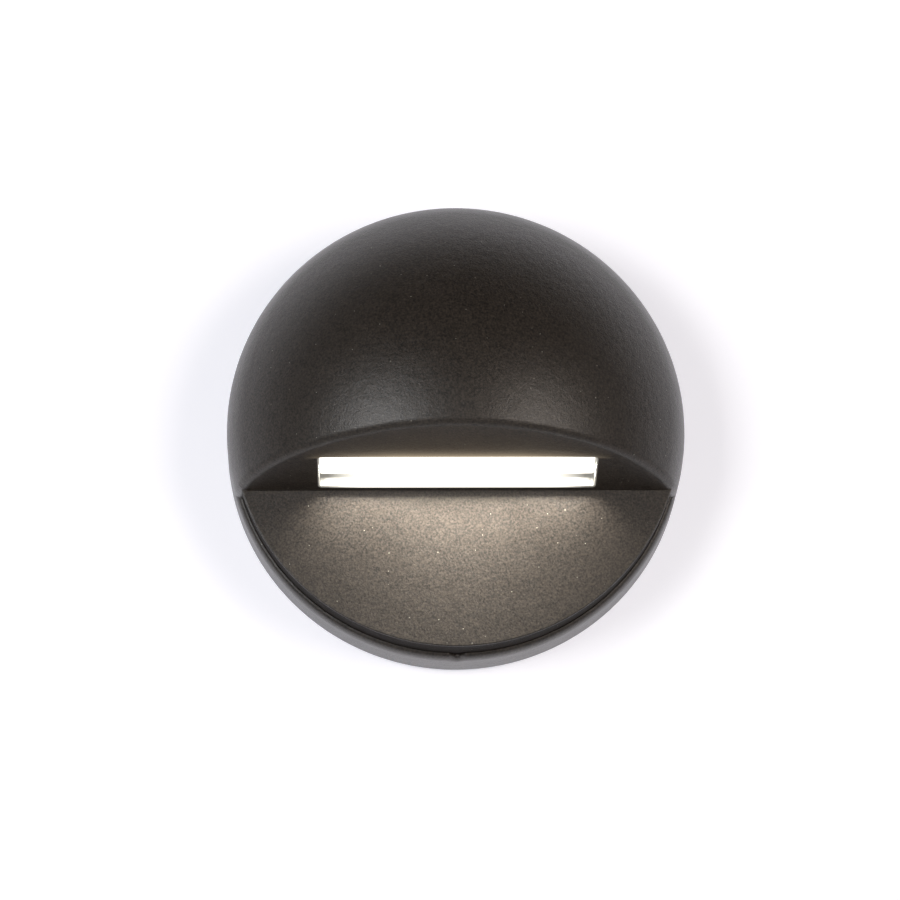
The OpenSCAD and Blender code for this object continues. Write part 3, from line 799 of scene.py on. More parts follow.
    def _revolved(
        self, th: Array, rows: list[tuple[Array, Array]], normals: list[tuple[float, float]], coat: Coat = Coat.BRONZE
    ) -> None:
        """Adds rows that go round the light's axis.

        A row's exact normal is the cross product of the way round the axis and the way up the profile.

        Args:
            th: Angles of the columns.
            rows: Radius and height of each row at every angle.
            normals: Outward and upward part of each row's normal, which give the side that faces out.
            coat: Material of the faces.
        """
        p = np.stack([turned(th, r, z) for r, z in rows])
        n = np.stack([turned(th, a, b) for a, b in normals])
        along = np.gradient(p, th, axis=1)
        up = np.stack([turned(th, -b, a) for a, b in normals])
        exact = unit(np.cross(along, up))
        self.skin.add(p, exact * np.sign((exact * n).sum(-1, keepdims=True)), slot=coat.value)

    def _wall(self) -> None:
        """The brow wall with its window, whose edge is rounded, and the window's sides.

        Each column is a ray from the window's middle. Its rows run from the brow's edge to the window's outline,
        over a quarter circle into the window, and down its side.
        """
        f, grid = self.face, self.density
        brow = self._brow_on_wall()
        outer = np.stack([brow[:, 0], brow @ self.up], -1)
        outer = np.vstack([outer[0] * [1, 0], outer, outer[-1] * [1, 0]])
        middle = np.array([0.0, f.window_rise + f.window_h / 2])
        window = RoundedRect(f.window_w / 2, f.window_h / 2, f.window_r)
        d = self._wall_rays(outer - middle, window)
        far = ray_to(np.vstack([outer, outer[:1]]) - middle, d)[:, None] * d
        ahead = self._ahead_of_window(outer - middle, d)
        e = f.window_edge
        near = window.grown(e).along(d)
        rows, depth, facing = [], [], []
        for t in np.linspace(1, 0, grid.wall):
            rows.append(near * (1 - t) + far * t)
            depth.append(-ahead * t * t * (3 - 2 * t))
            facing.append((0.0, 1.0))
        for a in np.linspace(0, QUARTER, grid.reveal)[1:]:
            rows.append(window.grown(e * (1 - math.sin(a))).along(d))
            depth.append(np.full(len(d), e * (1 - math.cos(a))))
            facing.append((-math.sin(a), math.cos(a)))
        rows.append(rows[-1])
        depth.append(np.full(len(d), f.reveal_t))
        facing.append((-1.0, 0.0))
        p = self._on_wall(np.array(rows) + middle, np.array(depth))
        inward = window.normals(d)
        flat = inward[..., :1] * [1.0, 0, 0] + inward[..., 1:] * self.up
        n = np.stack([a * flat + b * self.out for a, b in facing])
        edge = grid.wall
        around = (np.roll(p, -1, 1) - np.roll(p, 1, 1))[:edge]
        bent = unit(np.cross(np.gradient(p, axis=0)[:edge], around))
        bent = bent * np.sign((bent * self.out).sum(-1, keepdims=True))
        bent[-1] = self.out
        self.skin.add(p[:edge], bent, close=True, slot=Coat.BROW.value)
        self.skin.add(p[edge - 1 :], n[edge - 1 :], close=True, slot=Coat.REVEAL.value)

    def _brow_on_wall(self) -> Array:
        """Centres of the lip's rounding over the plate, from the foot of the brow wall."""
        ends = self.density.ends
        return self.centre[ends:-ends] - self.foot

    def _wall_rays(self, outer: Array, window: RoundedRect) -> Array:
        """Directions of the wall's columns, as seen from the window's middle.

        Args:
            outer: Outline of the wall about the window's middle.
            window: The window's outline.

        Returns:
            Unit directions, through every point of the brow, down to the plate and close to the window's corners.
        """
        grid = self.density
        upper = np.arctan2(outer[:, 1], outer[:, 0])[::-1]
        corner = [math.atan2(y * window.half_h, x * window.half_w) for x in (-1, 1) for y in (-1, 1)]
        spread = np.linspace(-grid.corner_spread, grid.corner_spread, grid.corner)
        extra = (np.array(corner)[:, None] + spread[None]).ravel() % FULL
        lower = np.linspace(upper[-1] % FULL, upper[0] % FULL, grid.window_foot)
        angle = np.unique(np.round(np.concatenate([upper % FULL, lower, extra]), 6))
        return np.stack([np.cos(angle), np.sin(angle)], -1)

    def _ahead_of_window(self, outer: Array, d: Array) -> Array:
        """How far the brow's outline comes forward of the window's plane.

        Args:
            outer: Outline of the wall about the window's middle.
            d: Unit directions from there.

        Returns:
            The distance along each direction, nothing where it points down to the plate.
        """
        rise = self._brow_on_wall() @ self.out + self.face.brow_round
        at = np.arctan2(outer[1:-1, 0], outer[1:-1, 1])
        return np.interp(np.arctan2(d[:, 0], d[:, 1]), at, rise, left=0.0, right=0.0)

    def _wall_ends(self) -> None:
        """The two straight ends of the wall, beside the plate."""
        f = self.face
        edge = self.centre[-self.density.ends :] * [1, 0, 1] - [0, f.wall_foot, 0]
        edge = np.vstack([[edge[0, 0], edge[0, 1], f.plate_h], edge])
        for way in (-1, 1):
            p = np.stack([edge * [way, 1, 1], (edge - [f.wall_t, 0, 0]) * [way, 1, 1]])
            self.skin.add(p, np.broadcast_to([0.0, -1.0, 0.0], p.shape))

    def _on_wall(self, xy: Array, depth: Array) -> Array:
        """Points on the brow wall, sunk by the depth."""
        return self.foot + xy[..., :1] * [1.0, 0, 0] + xy[..., 1:] * self.up - depth[..., None] * self.out

    def build_inside(self) -> bpy.types.Object:
        """Copies the CAD solid and deletes its outer faces, which the skin covers.

        A face goes when all its corners lie on the hood, on the open part's surfaces, in the window or on the foot.

        Returns:
            The object with the inner faces.
        """
        hood, face, edges = self.hood, self.face, self.edges
        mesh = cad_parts["housing"].data.copy()
        mesh.name = "housing_inside"
        count = len(mesh.vertices)
        co = np.zeros(count * 3)
        mesh.vertices.foreach_get("co", co)
        co = co.reshape(-1, 3) / MM
        p = np.stack([co[:, 0], co[:, 2], -co[:, 1]], -1)
        corners = np.zeros(len(mesh.loops), int)
        mesh.loops.foreach_get("vertex_index", corners)
        r, z = np.hypot(p[:, 0], p[:, 1]), p[:, 2]
        ahead, up = (p - self.foot) @ self.out, (p - self.foot) @ self.up
        tiny = edges.tiny
        on_skin = (np.abs(hood.depth(p)) < tiny) & (z > hood.sizes.foot_z - tiny)
        plate_r = hood.rim_r(edges.ledge_h) - edges.ledge_w
        in_front = (ahead > -tiny) & (z > face.plate_h - tiny)
        channel = (p[:, 1] < -face.wall_foot + tiny) & (z > edges.ledge_h - edges.rim_round - tiny)
        in_front |= channel & (r > plate_r - edges.plate_round - tiny)
        in_notch = (ahead > -tiny) & (np.abs(p[:, 0]) < edges.notch_w / 2 + tiny) & (r > plate_r - tiny)
        in_notch &= z > edges.ledge_h - edges.notch_h - edges.notch_slack
        half = (face.window_w / 2 + tiny, face.window_h / 2 + tiny)
        window_up = face.window_rise + face.window_h / 2
        in_window = (np.abs(p[:, 0]) < half[0]) & (np.abs(up - window_up) < half[1])
        in_window &= (ahead > -face.wall_t - tiny) & (ahead < tiny)
        on_foot = (np.abs(z - hood.sizes.foot_z) < tiny) & (r > hood.sizes.inner_r - tiny)
        drop = np.zeros(len(mesh.polygons), bool)
        for group in (on_skin | in_front | in_notch, in_window, on_foot | on_skin):
            drop |= group[corners.reshape(-1, 3)].all(1)
        bm = bmesh.new()
        bm.from_mesh(mesh)
        bm.faces.ensure_lookup_table()
        bmesh.ops.delete(bm, geom=[bm.faces[i] for i in np.nonzero(drop)[0]], context="FACES")
        bm.to_mesh(mesh)
        bm.free()
        log.info("housing_inside: kept %d of %d faces", len(mesh.polygons), len(drop))
        return put_in_scene("housing_inside", mesh)


class Wiring:
    """The node tree of one material, with short ways to add nodes and to join them."""

    def __init__(self, name: str) -> None:
        """Makes the material, with its main shader and the piece's own coordinates."""
        self.material = bpy.data.materials.new(name)
        self.material.use_nodes = True
        self.tree = self.material.node_tree
        self.shader = self.tree.nodes["Principled BSDF"]
        self.coords = self.add("TexCoord", {}, "Object")

    def add(self, kind: str, inputs: dict[str | int, Value], output: str | int, **options: str) -> Socket:
        """Adds a node.

        Args:
            kind: Its type, without the words ShaderNode.
            inputs: Links and constants for its sockets.
            output: The output that is wanted.
            **options: Its other settings.

        Returns:
            That output.
        """
        node = self.tree.nodes.new("ShaderNode" + kind)
        for key, value in options.items():
            setattr(node, key, value)
        for key, value in inputs.items():
            self._set(node.inputs[key], value)
        return node.outputs[output]

    def dress(self, inputs: dict[str, Value]) -> None:
        """Sets or links sockets of the main shader."""
        for key, value in inputs.items():
            self._set(self.shader.inputs[key], value)

    def _set(self, socket: Socket, value: Value) -> None:
        """Links an output to a socket, or sets the socket's constant.

        Args:
            socket: The input.
            value: An output or a constant.
        """
        if isinstance(value, bpy.types.NodeSocket):
            self.tree.links.new(value, socket)
        else:
            socket.default_value = value

    def math(self, operation: str, a: Value, b: Value = 0.0) -> Socket:
        """One step of arithmetic."""
        return self.add("Math", {0: a, 1: b}, "Value", operation=operation)

    def noise(self, size_mm: float, detail: float, rough: float = 0.55, at: Socket | None = None) -> Socket:
        """Noise on the piece.

        Args:
            size_mm: Size of its main features.
            detail: How many finer layers it has.
            rough: Share of the finer layers.
            at: Coordinates, where they aren't the piece's own.

        Returns:
            The noise, about 0.3 to 0.7.
        """
        where = self.coords if at is None else at
        inputs = {"Vector": where, "Scale": 1 / (size_mm * MM), "Detail": detail, "Roughness": rough}
        return self.add("TexNoise", inputs, "Fac")

    def blend(self, noise: Socket, low: Rgba, high: Rgba) -> Socket:
        """Colour between two shades.

        Args:
            noise: Noise that chooses the shade.
            low: Shade where it is low.
            high: Shade where it is high.

        Returns:
            The colour.
        """
        node = self.tree.nodes.new("ShaderNodeValToRGB")
        for stop, place, color in zip(node.color_ramp.elements, NOISE_SPAN, (low, high)):
            stop.position, stop.color = place, color
        self._set(node.inputs["Fac"], noise)
        return node.outputs["Color"]

    def span(self, value: Socket, to: tuple[float, float], over: tuple[float, float], kind: str = "LINEAR") -> Socket:
        """A number that goes from one end to the other while a value does, and stays there beyond.

        Args:
            value: The value.
            to: The number's two ends.
            over: The value's two ends.
            kind: How it goes between them.

        Returns:
            The number.
        """
        inputs = {"Value": value, "From Min": over[0], "From Max": over[1], "To Min": to[0], "To Max": to[1]}
        return self.add("MapRange", inputs, "Result", interpolation_type=kind)

    def off_middle(self) -> Socket:
        """Distance to the left or the right of the light's middle, in metres."""
        return self.math("ABSOLUTE", self.add("SeparateXYZ", {"Vector": self.coords}, "X"))


NOISE_SPAN = (0.3, 0.7)
CLOUD_MM = 4.0
RELIEF_MM = 0.1
FINE_SHARE = 0.7
PEEL_GRAINS = 5
PEEL_HEIGHT = 1.2
SCRATCH = (0.05, 1, 1)
RINGS_PER_GRAIN = 0.3
RING_WANDER = 0.4
DUST_SPACING_MM = 1.5
DUST_SIZE = 0.065
DUST_CORE = 0.6
DUST_RARITY = 0.55
DUST_COLOR = (0.24, 0.23, 0.2, 1)


class Finisher:
    """Makes one procedural material for each finish."""

    def __init__(self) -> None:
        """Starts with no material."""
        self._made: dict[str, Wiring] = {}

    def get(self, name: str, finish: Finish) -> Wiring:
        """Finds the material of that name, and makes it the first time.

        Args:
            name: Name of the material.
            finish: Its colours and structure.

        Returns:
            The material's wiring.
        """
        if name not in self._made:
            self._made[name] = self._make(name, finish)
        return self._made[name]

    def _make(self, name: str, f: Finish) -> Wiring:
        """Wires cloudy colour and roughness, speckle and relief.

        Args:
            name: Name of the material.
            f: Its colours and structure.

        Returns:
            The material's wiring.
        """
        w = Wiring(name)
        cloud = w.noise(CLOUD_MM, 3.0)
        dark, pale = ((*(part * k for part in f.color), 1.0) for k in (1 - f.mottle, 1 + f.mottle))
        color = w.blend(cloud, dark, pale)
        bump = {"Strength": f.bump, "Distance": RELIEF_MM * MM, "Height": self._relief(w, f)}
        w.dress(
            {
                "Base Color": self._speckled(w, color, f) if f.speckle else color,
                "Roughness": w.span(cloud, (f.rough - f.rough_swing, f.rough + f.rough_swing), NOISE_SPAN),
                "Metallic": f.metal,
                "Coat Weight": f.coat,
                "Specular IOR Level": f.gloss,
                "Subsurface Weight": f.sss,
                "Normal": w.add("Bump", bump, "Normal"),
            }
        )
        return w

    @staticmethod
    def _speckled(w: Wiring, color: Socket, f: Finish) -> Socket:
        """The colour with fine light and dark grains, and with a few pale specks of dust.

        Args:
            w: The material's wiring.
            color: The colour without them.
            f: Size and strength of the grains.

        Returns:
            The colour.
        """
        grain = w.span(w.noise(f.speckle_mm, 1.5, 0.6), (1 - f.speckle, 1 + f.speckle), NOISE_SPAN)
        grained = w.add("VectorMath", {0: color, "Scale": grain}, "Vector", operation="SCALE")
        cell = w.add("TexVoronoi", {"Vector": w.coords, "Scale": 1 / (DUST_SPACING_MM * MM)}, "Distance")
        speck = w.span(cell, (1.0, 0.0), (DUST_SIZE * DUST_CORE, DUST_SIZE))
        draw = w.add("SeparateXYZ", {"Vector": cell.node.outputs["Color"]}, "X")
        dust = w.math("MULTIPLY", speck, w.math("GREATER_THAN", draw, DUST_RARITY))
        return w.add("Mix", {"Factor": dust, "A": grained, "B": DUST_COLOR}, "Result", data_type="RGBA")

    @staticmethod
    def _relief(w: Wiring, f: Finish) -> Socket:
        """Height of the surface's structure.

        Powder has fine grains over a softer orange peel, brushed metal has long scratches, turned metal has rings
        about the light's axis, a moulded surface has small cells, and a plain one has faint waves.

        Args:
            w: The material's wiring.
            f: Kind and size of the structure.

        Returns:
            The height.
        """
        per_grain = 1 / (f.grain_mm * MM)
        if f.grain is Grain.POWDER:
            peel = w.math("MULTIPLY", w.noise(f.grain_mm * PEEL_GRAINS, 2.0), PEEL_HEIGHT)
            return w.math("ADD", w.noise(f.grain_mm, 3.0, FINE_SHARE), peel)
        if f.grain is Grain.BRUSHED:
            along = w.add("Mapping", {"Vector": w.coords, "Scale": SCRATCH}, "Vector")
            return w.noise(f.grain_mm, 3.0, FINE_SHARE, along)
        if f.grain is Grain.TURNED:
            inputs = {"Vector": w.coords, "Scale": RINGS_PER_GRAIN * per_grain, "Distortion": RING_WANDER}
            return w.add("TexWave", inputs, "Fac", wave_type="RINGS", rings_direction="Y")
        if f.grain is Grain.MOULDED:
            return w.add("TexVoronoi", {"Vector": w.coords, "Scale": per_grain}, "Distance")
        return w.noise(f.grain_mm, 2.0)


BRONZE = Finish(
    (0.0218, 0.0172, 0.0136),
    0.385,
    grain=Grain.POWDER,
    grain_mm=0.3,
    bump=0.5,
    mottle=0.05,
    rough_swing=0.012,
    speckle=0.75,
    speckle_mm=0.34,
)
# Painted shade: a darker, nearly unreflecting copy of the bronze for the channel round the plate, where shade falls.
PAINTED_SHADE_STEP_BRONZE = Finish((0.013, 0.0105, 0.009), 0.6, grain=Grain.POWDER, grain_mm=0.3, bump=0.3, speckle=0.4, gloss=0.02)
WINDOW_EDGE = Finish((0.012, 0.011, 0.009), 0.6, grain_mm=0.4, bump=0.2, mottle=0.08)
RUBBER = Finish((0.022, 0.022, 0.024), 0.72, grain=Grain.MOULDED, grain_mm=0.3, bump=0.15, mottle=0.15)
WHITE_PLASTIC = Finish((0.85, 0.85, 0.82), 0.35, grain=Grain.MOULDED, grain_mm=0.4, sss=0.1)
WHITE_BOARD = Finish((0.8, 0.8, 0.77), 0.4, grain_mm=0.5, coat=0.2)
PHOSPHOR = Finish((0.9, 0.66, 0.16), 0.3, grain_mm=0.3, sss=0.3)
HEAT_PAD = Finish((0.25, 0.26, 0.28), 0.8, grain=Grain.MOULDED, grain_mm=0.2)
ALUMINIUM = Finish((0.72, 0.73, 0.74), 0.38, metal=1.0, grain=Grain.BRUSHED, grain_mm=0.15)
STEEL = Finish((0.56, 0.56, 0.55), 0.34, metal=1.0, grain=Grain.BRUSHED, grain_mm=0.12, bump=0.12, mottle=0.06)
BLACK_PLASTIC = Finish((0.02, 0.02, 0.02), 0.5, grain=Grain.MOULDED, grain_mm=0.25)
GREEN_BOARD = Finish((0.02, 0.11, 0.045), 0.35, grain_mm=0.8, coat=0.3)
COMPONENTS = Finish((0.05, 0.05, 0.055), 0.35, grain_mm=0.6)
RED_WIRE = Finish((0.35, 0.02, 0.015), 0.4, grain_mm=0.5)
BLACK_WIRE = Finish((0.015, 0.015, 0.015), 0.4, grain_mm=0.5)
BRASS = Finish((0.62, 0.43, 0.17), 0.32, metal=1.0, grain=Grain.TURNED, grain_mm=0.3)
DARK_STEEL = Finish((0.10, 0.10, 0.10), 0.3, metal=1.0, grain_mm=0.3)
SCREWS = ("led_board_screws", "led_bracket_screws", "driver_screws", "rear_cover_screws")
DRESSING: tuple[tuple[str, Finish, tuple[str, ...]], ...] = (
    ("black_rubber", RUBBER, ("lens_gasket", "wall_gasket", "rear_seal", "cable_gland")),
    ("white_plastic", WHITE_PLASTIC, ("reflector_tray",)),
    ("white_board", WHITE_BOARD, ("led_board",)),
    ("led_yellow", PHOSPHOR, ("led_chips",)),
    ("grey_silicone", HEAT_PAD, ("thermal_pad",)),
    ("aluminium", ALUMINIUM, ("led_bracket",)),
    ("stainless_steel", STEEL, (*SCREWS, "mounting_plate")),
    ("black_plastic", BLACK_PLASTIC, ("driver_cup",)),
    ("green_board", GREEN_BOARD, ("driver_board",)),
    ("component_grey", COMPONENTS, ("driver_components",)),
    ("red_wire", RED_WIRE, ("lead_positive",)),
    ("black_wire", BLACK_WIRE, ("lead_negative",)),
    ("bare_brass", BRASS, ("rear_cover",)),
    ("dark_steel", DARK_STEEL, ("set_screw_left", "set_screw_right")),
)


@dataclass(frozen=True)
class Beam:
    """One part of the light that leaves the window forwards.

    Attributes:
        name: Name of the light.
        watts: Power.
        spread_deg: Opening angle.
        size: Width and height in millimetres.
        rise: Height of its middle over the plate, along the brow wall.
    """

    name: str
    watts: float
    spread_deg: float
    size: tuple[float, float]
    rise: float


@dataclass(frozen=True)
class Glow:
    """Light of the window.

    Attributes:
        color: Linear colour of the light.
        pane_color: Linear colour of the pane itself.
        pane_rough: Roughness of its frosting.
        strength: Radiance of the pane at its middle.
        full_half: Half length with full light.
        fade: Length over which the light fades towards each end.
        end_share: Share of light left at the ends.
        beams: The light that leaves the window forwards.
        behind_pane: How far the beams start behind the brow wall's inner face.
        halo_color: Colour of the window's light that is painted as emission on the brow wall over the window.
        halo: Strength and reach in millimetres of its near and its far part.
        halo_half: Half lengths between which it fades.
        halo_edge: Heights over the window between which it sets in.
        flood: Strength of the light painted as emission on the window's edge, in the middle and at its ends.
        flood_half: Half lengths between which that light fades.
    """

    color: Rgb = (1.0, 0.96, 0.86)
    pane_color: Rgb = (0.9, 0.9, 0.87)
    pane_rough: float = 0.5
    strength: float = 3.6
    full_half: float = 15.0
    fade: float = 7.4
    end_share: float = 0.4
    beams: tuple[Beam, ...] = (
        Beam("window_beam_middle", 0.032, 90.0, (18.0, 2.6), 3.5),
        Beam("window_beam_wide", 0.098, 138.0, (43.0, 2.6), 3.5),
    )
    behind_pane: float = 0.3
    halo_color: Rgb = (1.0, 0.81, 0.57)
    halo: tuple[tuple[float, float], ...] = ((0.55, 0.85), (0.045, 2.8))
    halo_half: tuple[float, float] = (10.0, 25.0)
    halo_edge: tuple[float, float] = (-0.3, 0.1)
    flood: tuple[float, float] = (1.3, 0.2)
    flood_half: tuple[float, float] = (15.5, 21.0)


class WindowLight:
    """The window's light: the glowing pane, the glow painted as emission on the parts round it, and the beams on the
    plate.
    """

    def __init__(self, glow: Glow, housing: Housing, finisher: Finisher) -> None:
        """Keeps what the methods share.

        Args:
            glow: Strength and reach of the light.
            housing: The casting, for the window's place.
            finisher: Maker of the materials.
        """
        self.glow, self.housing, self.finisher = glow, housing, finisher

    def pane(self) -> bpy.types.Material:
        """Makes the frosted pane's material: it glows evenly over the LEDs and fades towards its ends.

        Returns:
            The material.
        """
        g = self.glow
        w = Wiring("frosted_pane")
        over = (g.full_half * MM, (g.full_half + g.fade) * MM)
        fade = w.span(w.off_middle(), (g.strength, g.strength * g.end_share), over, "SMOOTHSTEP")
        w.dress(
            {
                "Base Color": (*g.pane_color, 1),
                "Roughness": g.pane_rough,
                "Emission Color": (*g.color, 1),
                "Emission Strength": fade,
            }
        )
        return w.material

    def brow(self) -> bpy.types.Material:
        """Paints the window's light onto the casting's finish on the brow wall, as emission: a painted glow.

        At a height h over the window's upper edge its strength is the sum of strength exp(-h / reach), and it
        fades in a straight line towards the ends.

        Returns:
            The material.
        """
        g, housing, face = self.glow, self.housing, self.housing.face
        w = self.finisher.get("dark_bronze_lit", BRONZE)
        edge = to_frame(housing.foot + (face.window_rise + face.window_h) * housing.up) * MM
        from_edge = w.add("VectorMath", {0: w.coords, 1: edge.tolist()}, "Vector", operation="SUBTRACT")
        up = to_frame(housing.up).tolist()
        height = w.add("VectorMath", {0: from_edge, 1: up}, "Value", operation="DOT_PRODUCT")
        over = w.math("MULTIPLY", height, 1 / MM)
        total = 0.0
        for strength, reach in g.halo:
            fall = w.math("EXPONENT", w.math("MULTIPLY", over, -1 / reach))
            total = w.math("ADD", w.math("MULTIPLY", fall, strength), total)
        near, far = (half * MM for half in g.halo_half)
        total = w.math("MULTIPLY", total, w.span(w.off_middle(), (1.0, 0.0), (near, far)))
        total = w.math("MULTIPLY", total, w.span(over, (0.0, 1.0), g.halo_edge))
        # Painted light: the brow wall emits the window's warm colour, brightest just over the window and fading to
        # the ends.
        w.dress({"Emission Color": (*g.halo_color, 1), "Emission Strength": total})
        return w.material

    def reveal(self) -> bpy.types.Material:
        """Makes the window edge's material, with the window's light painted on it as emission: it floods the edge in
        the middle and leaves it pale at the ends.

        Returns:
            The material.
        """
        g = self.glow
        w = self.finisher.get("window_edge", WINDOW_EDGE)
        near, far = (half * MM for half in g.flood_half)
        flood = w.span(w.off_middle(), g.flood, (near, far))
        # Painted light: the window edge glows in the light's colour by emission, strongest in the middle.
        w.dress({"Emission Color": (*g.color, 1), "Emission Strength": flood})
        return w.material

    def throw(self, beam: Beam) -> None:
        """Adds light that the LEDs throw forwards through the pane. It moves with the head.

        Args:
            beam: Power, size and place of the light.
        """
        g, housing = self.glow, self.housing
        data = bpy.data.lights.new(beam.name, "AREA")
        data.shape, data.size, data.size_y = "RECTANGLE", beam.size[0] * MM, beam.size[1] * MM
        data.energy, data.spread, data.color = beam.watts, math.radians(beam.spread_deg), g.color
        obj = put_in_scene(beam.name, data)
        place = housing.foot + beam.rise * housing.up - (housing.face.wall_t + g.behind_pane) * housing.out
        obj.location = (to_frame(place) * MM).tolist()
        obj.rotation_mode = "QUATERNION"
        obj.rotation_quaternion = Vector(to_frame(housing.out).tolist()).to_track_quat("-Z", "Y")
        obj.visible_camera = False
        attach(obj, Body.HEAD.value)


@dataclass(frozen=True)
class SoftBox:
    """A rectangular studio light.

    Attributes:
        name: Name of the light.
        toward: Direction from the object to the light, in wall coordinates.
        watts: Power.
        color: Linear colour.
        distance: Distance in metres.
        size: Width and height in metres.
    """

    name: str
    toward: tuple[float, float, float]
    watts: float
    color: Rgb = (1.0, 1.0, 1.0)
    distance: float = 0.9
    size: tuple[float, float] = (0.32, 0.36)


@dataclass(frozen=True)
class Studio:
    """Camera, lights and stage. Lengths are in metres, apart from the camera's aim.

    Attributes:
        azimuth: Camera's angle to the right of the light's axis, in degrees.
        elevation: Camera's angle above the axis, in degrees.
        roll: Camera's turn about its own axis, in degrees.
        aim: The point at which the camera looks, in wall coordinates.
        distance: Camera's distance from it.
        sensor: Width of the camera's sensor in millimetres.
        lens: Its focal length in millimetres.
        clip: Nearest and farthest distance that it sees.
        boxes: The soft boxes.
        sky: Colour of the surroundings to the camera.
        surround: Grey of the surroundings, as light.
        wall_color: Colour of the wall.
        wall_glow: Light that the wall gives off towards the camera.
        wall_near: Strength of that light on the object, close by.
        wall_far: The same far away.
        wall_reach: Distances between which it fades.
        wall_gap: How far the wall is behind the object's back.
        wall_top: Height of the wall's upper edge.
        floor_color: Colour of the floor.
        floor_glow: Light that the floor gives off towards the camera.
        floor_z: Height of the floor.
        half_w: Half width of wall and floor.
        front: How far the floor comes forward.
        back: How far it goes back.
        matt: Roughness of wall and floor.
    """

    azimuth: float = -1.2
    elevation: float = -13.0
    roll: float = -0.33
    aim: tuple[float, float, float] = (-1.108, -4.573, 18.0)
    distance: float = 0.58338
    sensor: float = 36.0
    lens: float = 142.85
    clip: tuple[float, float] = (0.01, 20.0)
    boxes: tuple[SoftBox, ...] = (
        SoftBox("box_left", (-0.535, -0.03, 0.844), 4.4),
        SoftBox("box_right", (0.567, -0.03, 0.822), 3.6, (1.0, 0.91, 0.83)),
    )
    sky: Rgb = (0.95, 0.95, 0.96)
    surround: float = 0.03
    wall_color: Rgb = (0.66, 0.66, 0.67)
    wall_glow: Rgb = (0.5, 0.5, 0.55)
    wall_near: float = 1.4
    wall_far: float = 0.2
    wall_reach: tuple[float, float] = (0.08, 0.22)
    wall_gap: float = 0.0006
    wall_top: float = 1.2
    floor_color: Rgb = (0.4, 0.4, 0.4)
    floor_glow: Rgb = (0.6, 0.6, 0.62)
    floor_z: float = -0.35
    half_w: float = 1.5
    front: float = 2.5
    back: float = 1.5
    matt: float = 0.9


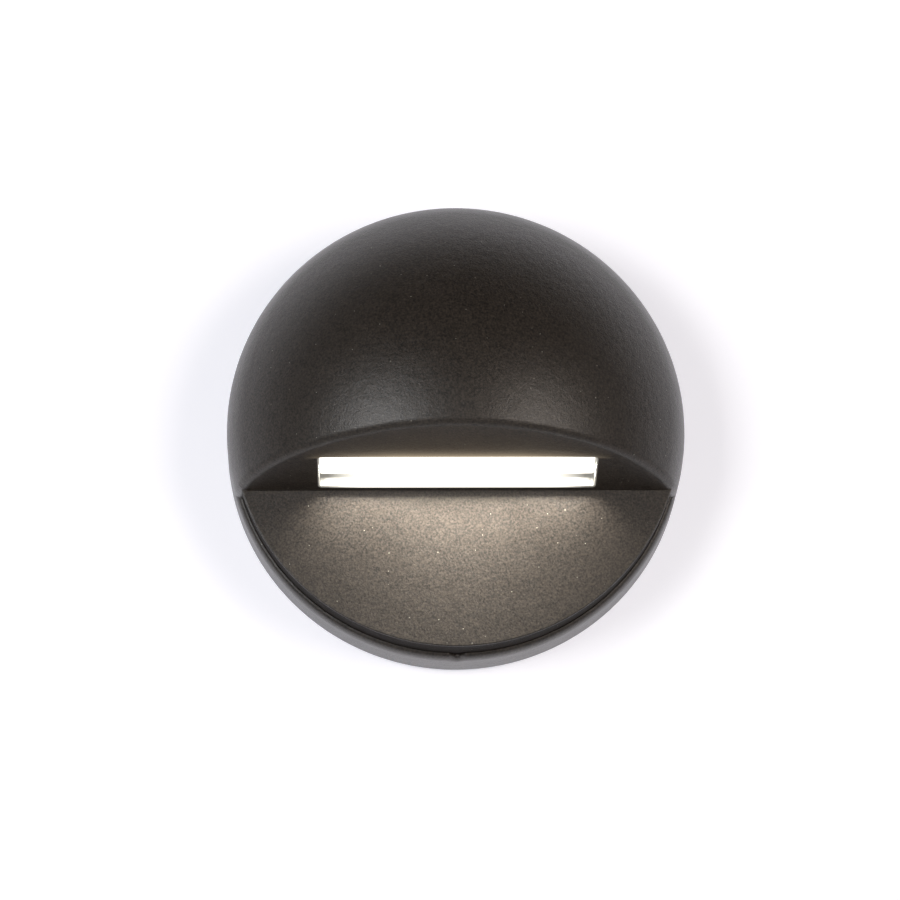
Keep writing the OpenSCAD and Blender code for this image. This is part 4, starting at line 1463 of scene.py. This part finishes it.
class Stage:
    """Builds the camera, the lights, the wall, the floor and the surroundings."""

    def __init__(self, studio: Studio) -> None:
        """Keeps the studio's sizes."""
        self.studio = studio

    def build(self) -> None:
        """Makes everything that isn't part of the object."""
        self._camera()
        for box in self.studio.boxes:
            self._soft_box(box)
        self._world()
        self._wall()
        self._floor()
        bpy.context.scene.view_settings.view_transform = "Standard"

    def _camera(self) -> None:
        """The camera at the photograph's angle, turned a little about its own axis."""
        s = self.studio
        a, e = math.radians(s.azimuth), math.radians(s.elevation)
        back = Vector((math.sin(a) * math.cos(e), -math.cos(a) * math.cos(e), math.sin(e)))
        data = bpy.data.cameras.new("camera")
        data.sensor_width, data.lens = s.sensor, s.lens
        data.clip_start, data.clip_end = s.clip
        cam = put_in_scene("camera", data)
        cam.location = back * s.distance + Vector((to_frame(np.array(s.aim)) * MM).tolist())
        cam.rotation_euler = (QUARTER - e, 0, a)
        cam.rotation_euler.rotate_axis("Z", math.radians(s.roll))
        bpy.context.scene.camera = cam

    @staticmethod
    def _soft_box(box: SoftBox) -> None:
        """One studio light, which faces the object.

        Args:
            box: Its place, size and power.
        """
        data = bpy.data.lights.new(box.name, "AREA")
        data.shape, data.size, data.size_y = "RECTANGLE", box.size[0], box.size[1]
        data.energy, data.color = box.watts, box.color
        obj = put_in_scene(box.name, data)
        way = Vector(to_frame(np.array(box.toward)).tolist()).normalized()
        obj.location = way * box.distance
        obj.rotation_mode = "QUATERNION"
        obj.rotation_quaternion = way.to_track_quat("Z", "Y")

    def _world(self) -> None:
        """The surroundings: pale to the camera, dimmer as light."""
        world = bpy.data.worlds.new("studio")
        bpy.context.scene.world = world
        world.use_nodes = True
        tree = world.node_tree
        seen = tree.nodes["Background"]
        seen.inputs["Color"].default_value = (*self.studio.sky, 1)
        lit = tree.nodes.new("ShaderNodeBackground")
        lit.inputs["Color"].default_value = (self.studio.surround,) * 3 + (1,)
        mix = tree.nodes.new("ShaderNodeMixShader")
        path = tree.nodes.new("ShaderNodeLightPath")
        tree.links.new(path.outputs["Is Camera Ray"], mix.inputs["Fac"])
        tree.links.new(lit.outputs["Background"], mix.inputs[1])
        tree.links.new(seen.outputs["Background"], mix.inputs[2])
        tree.links.new(mix.outputs["Shader"], tree.nodes["World Output"].inputs["Surface"])

    @staticmethod
    def _sheet(w: Wiring, corners: list[tuple[float, float, float]]) -> None:
        """A flat rectangle of the stage.

        Args:
            w: Wiring of its material, whose name it takes.
            corners: Its four corners in the frame's axes, in metres.
        """
        name = w.material.name
        mesh = bpy.data.meshes.new(name)
        mesh.from_pydata(corners, [], [(0, 1, 2, 3)])
        mesh.update()
        mesh.materials.append(w.material)
        put_in_scene(name, mesh)

    def _wall(self) -> None:
        """The white surface that the light is on. It has a front only: from behind, the light's back is in view.

        The light's finish sees it bright close by and dim farther away.
        """
        s = self.studio
        w = Wiring("stage_wall")
        far = w.add("VectorMath", {0: w.coords}, "Value", operation="LENGTH")
        on_object = w.span(far, (s.wall_near, s.wall_far), s.wall_reach)
        seen = w.add("LightPath", {}, "Is Camera Ray")
        w.dress(
            {
                "Base Color": (*s.wall_color, 1),
                "Roughness": s.matt,
                "Specular IOR Level": 0.0,
                "Emission Color": (*s.wall_glow, 1),
                "Emission Strength": w.add("Mix", {"Factor": seen, "A": on_object, "B": 1.0}, "Result"),
            }
        )
        front, clear = w.shader.outputs["BSDF"], w.add("BsdfTransparent", {}, "BSDF")
        behind = w.add("NewGeometry", {}, "Backfacing")
        shown = w.add("MixShader", {"Fac": behind, 1: front, 2: clear}, "Shader")
        w.tree.links.new(shown, w.tree.nodes["Material Output"].inputs["Surface"])
        x, y, low, top = s.half_w, s.wall_gap, s.floor_z, s.wall_top
        self._sheet(w, [(-x, y, low), (x, y, low), (x, y, top), (-x, y, top)])

    def _floor(self) -> None:
        """The plain pale floor under the light."""
        s = self.studio
        w = Wiring("stage_floor")
        w.dress(
            {
                "Base Color": (*s.floor_color, 1),
                "Roughness": s.matt,
                "Emission Color": (*s.floor_glow, 1),
                "Emission Strength": w.add("LightPath", {}, "Is Camera Ray"),
            }
        )
        x, z = s.half_w, s.floor_z
        self._sheet(w, [(-x, -s.front, z), (x, -s.front, z), (x, s.back, z), (-x, s.back, z)])


def put_material(obj: bpy.types.Object, mat: bpy.types.Material) -> None:
    """Gives an object one material in place of all it has."""
    obj.data.materials.clear()
    obj.data.materials.append(mat)


def main() -> None:
    """Builds the casting, its finishes, the window's light and the stage."""
    logging.basicConfig(level=logging.INFO, format="%(message)s")
    finisher = Finisher()
    housing = Housing(Hood(HoodSizes()), FaceSizes(), SolidEdges())
    light = WindowLight(Glow(), housing, finisher)
    bronze = finisher.get("dark_bronze", BRONZE).material
    # The darker bronze of painted shade, for the channel round the plate.
    step = finisher.get("dark_bronze_step", PAINTED_SHADE_STEP_BRONZE).material
    shell = housing.build_skin([bronze, light.reveal(), light.brow(), step])
    inside = housing.build_inside()
    put_material(inside, bronze)
    for piece in (shell, inside):
        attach(piece, Body.HEAD.value)
    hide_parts("housing")
    for name, finish, nodes in DRESSING:
        for node in nodes:
            put_material(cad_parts[node], finisher.get(name, finish).material)
            log.info("%s: %s", node, name)
    put_material(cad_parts["window_lens"], light.pane())
    log.info("window_lens: frosted_pane")
    for beam in light.glow.beams:
        light.throw(beam)
    Stage(Studio()).build()


if __name__ == "__main__":
    main()
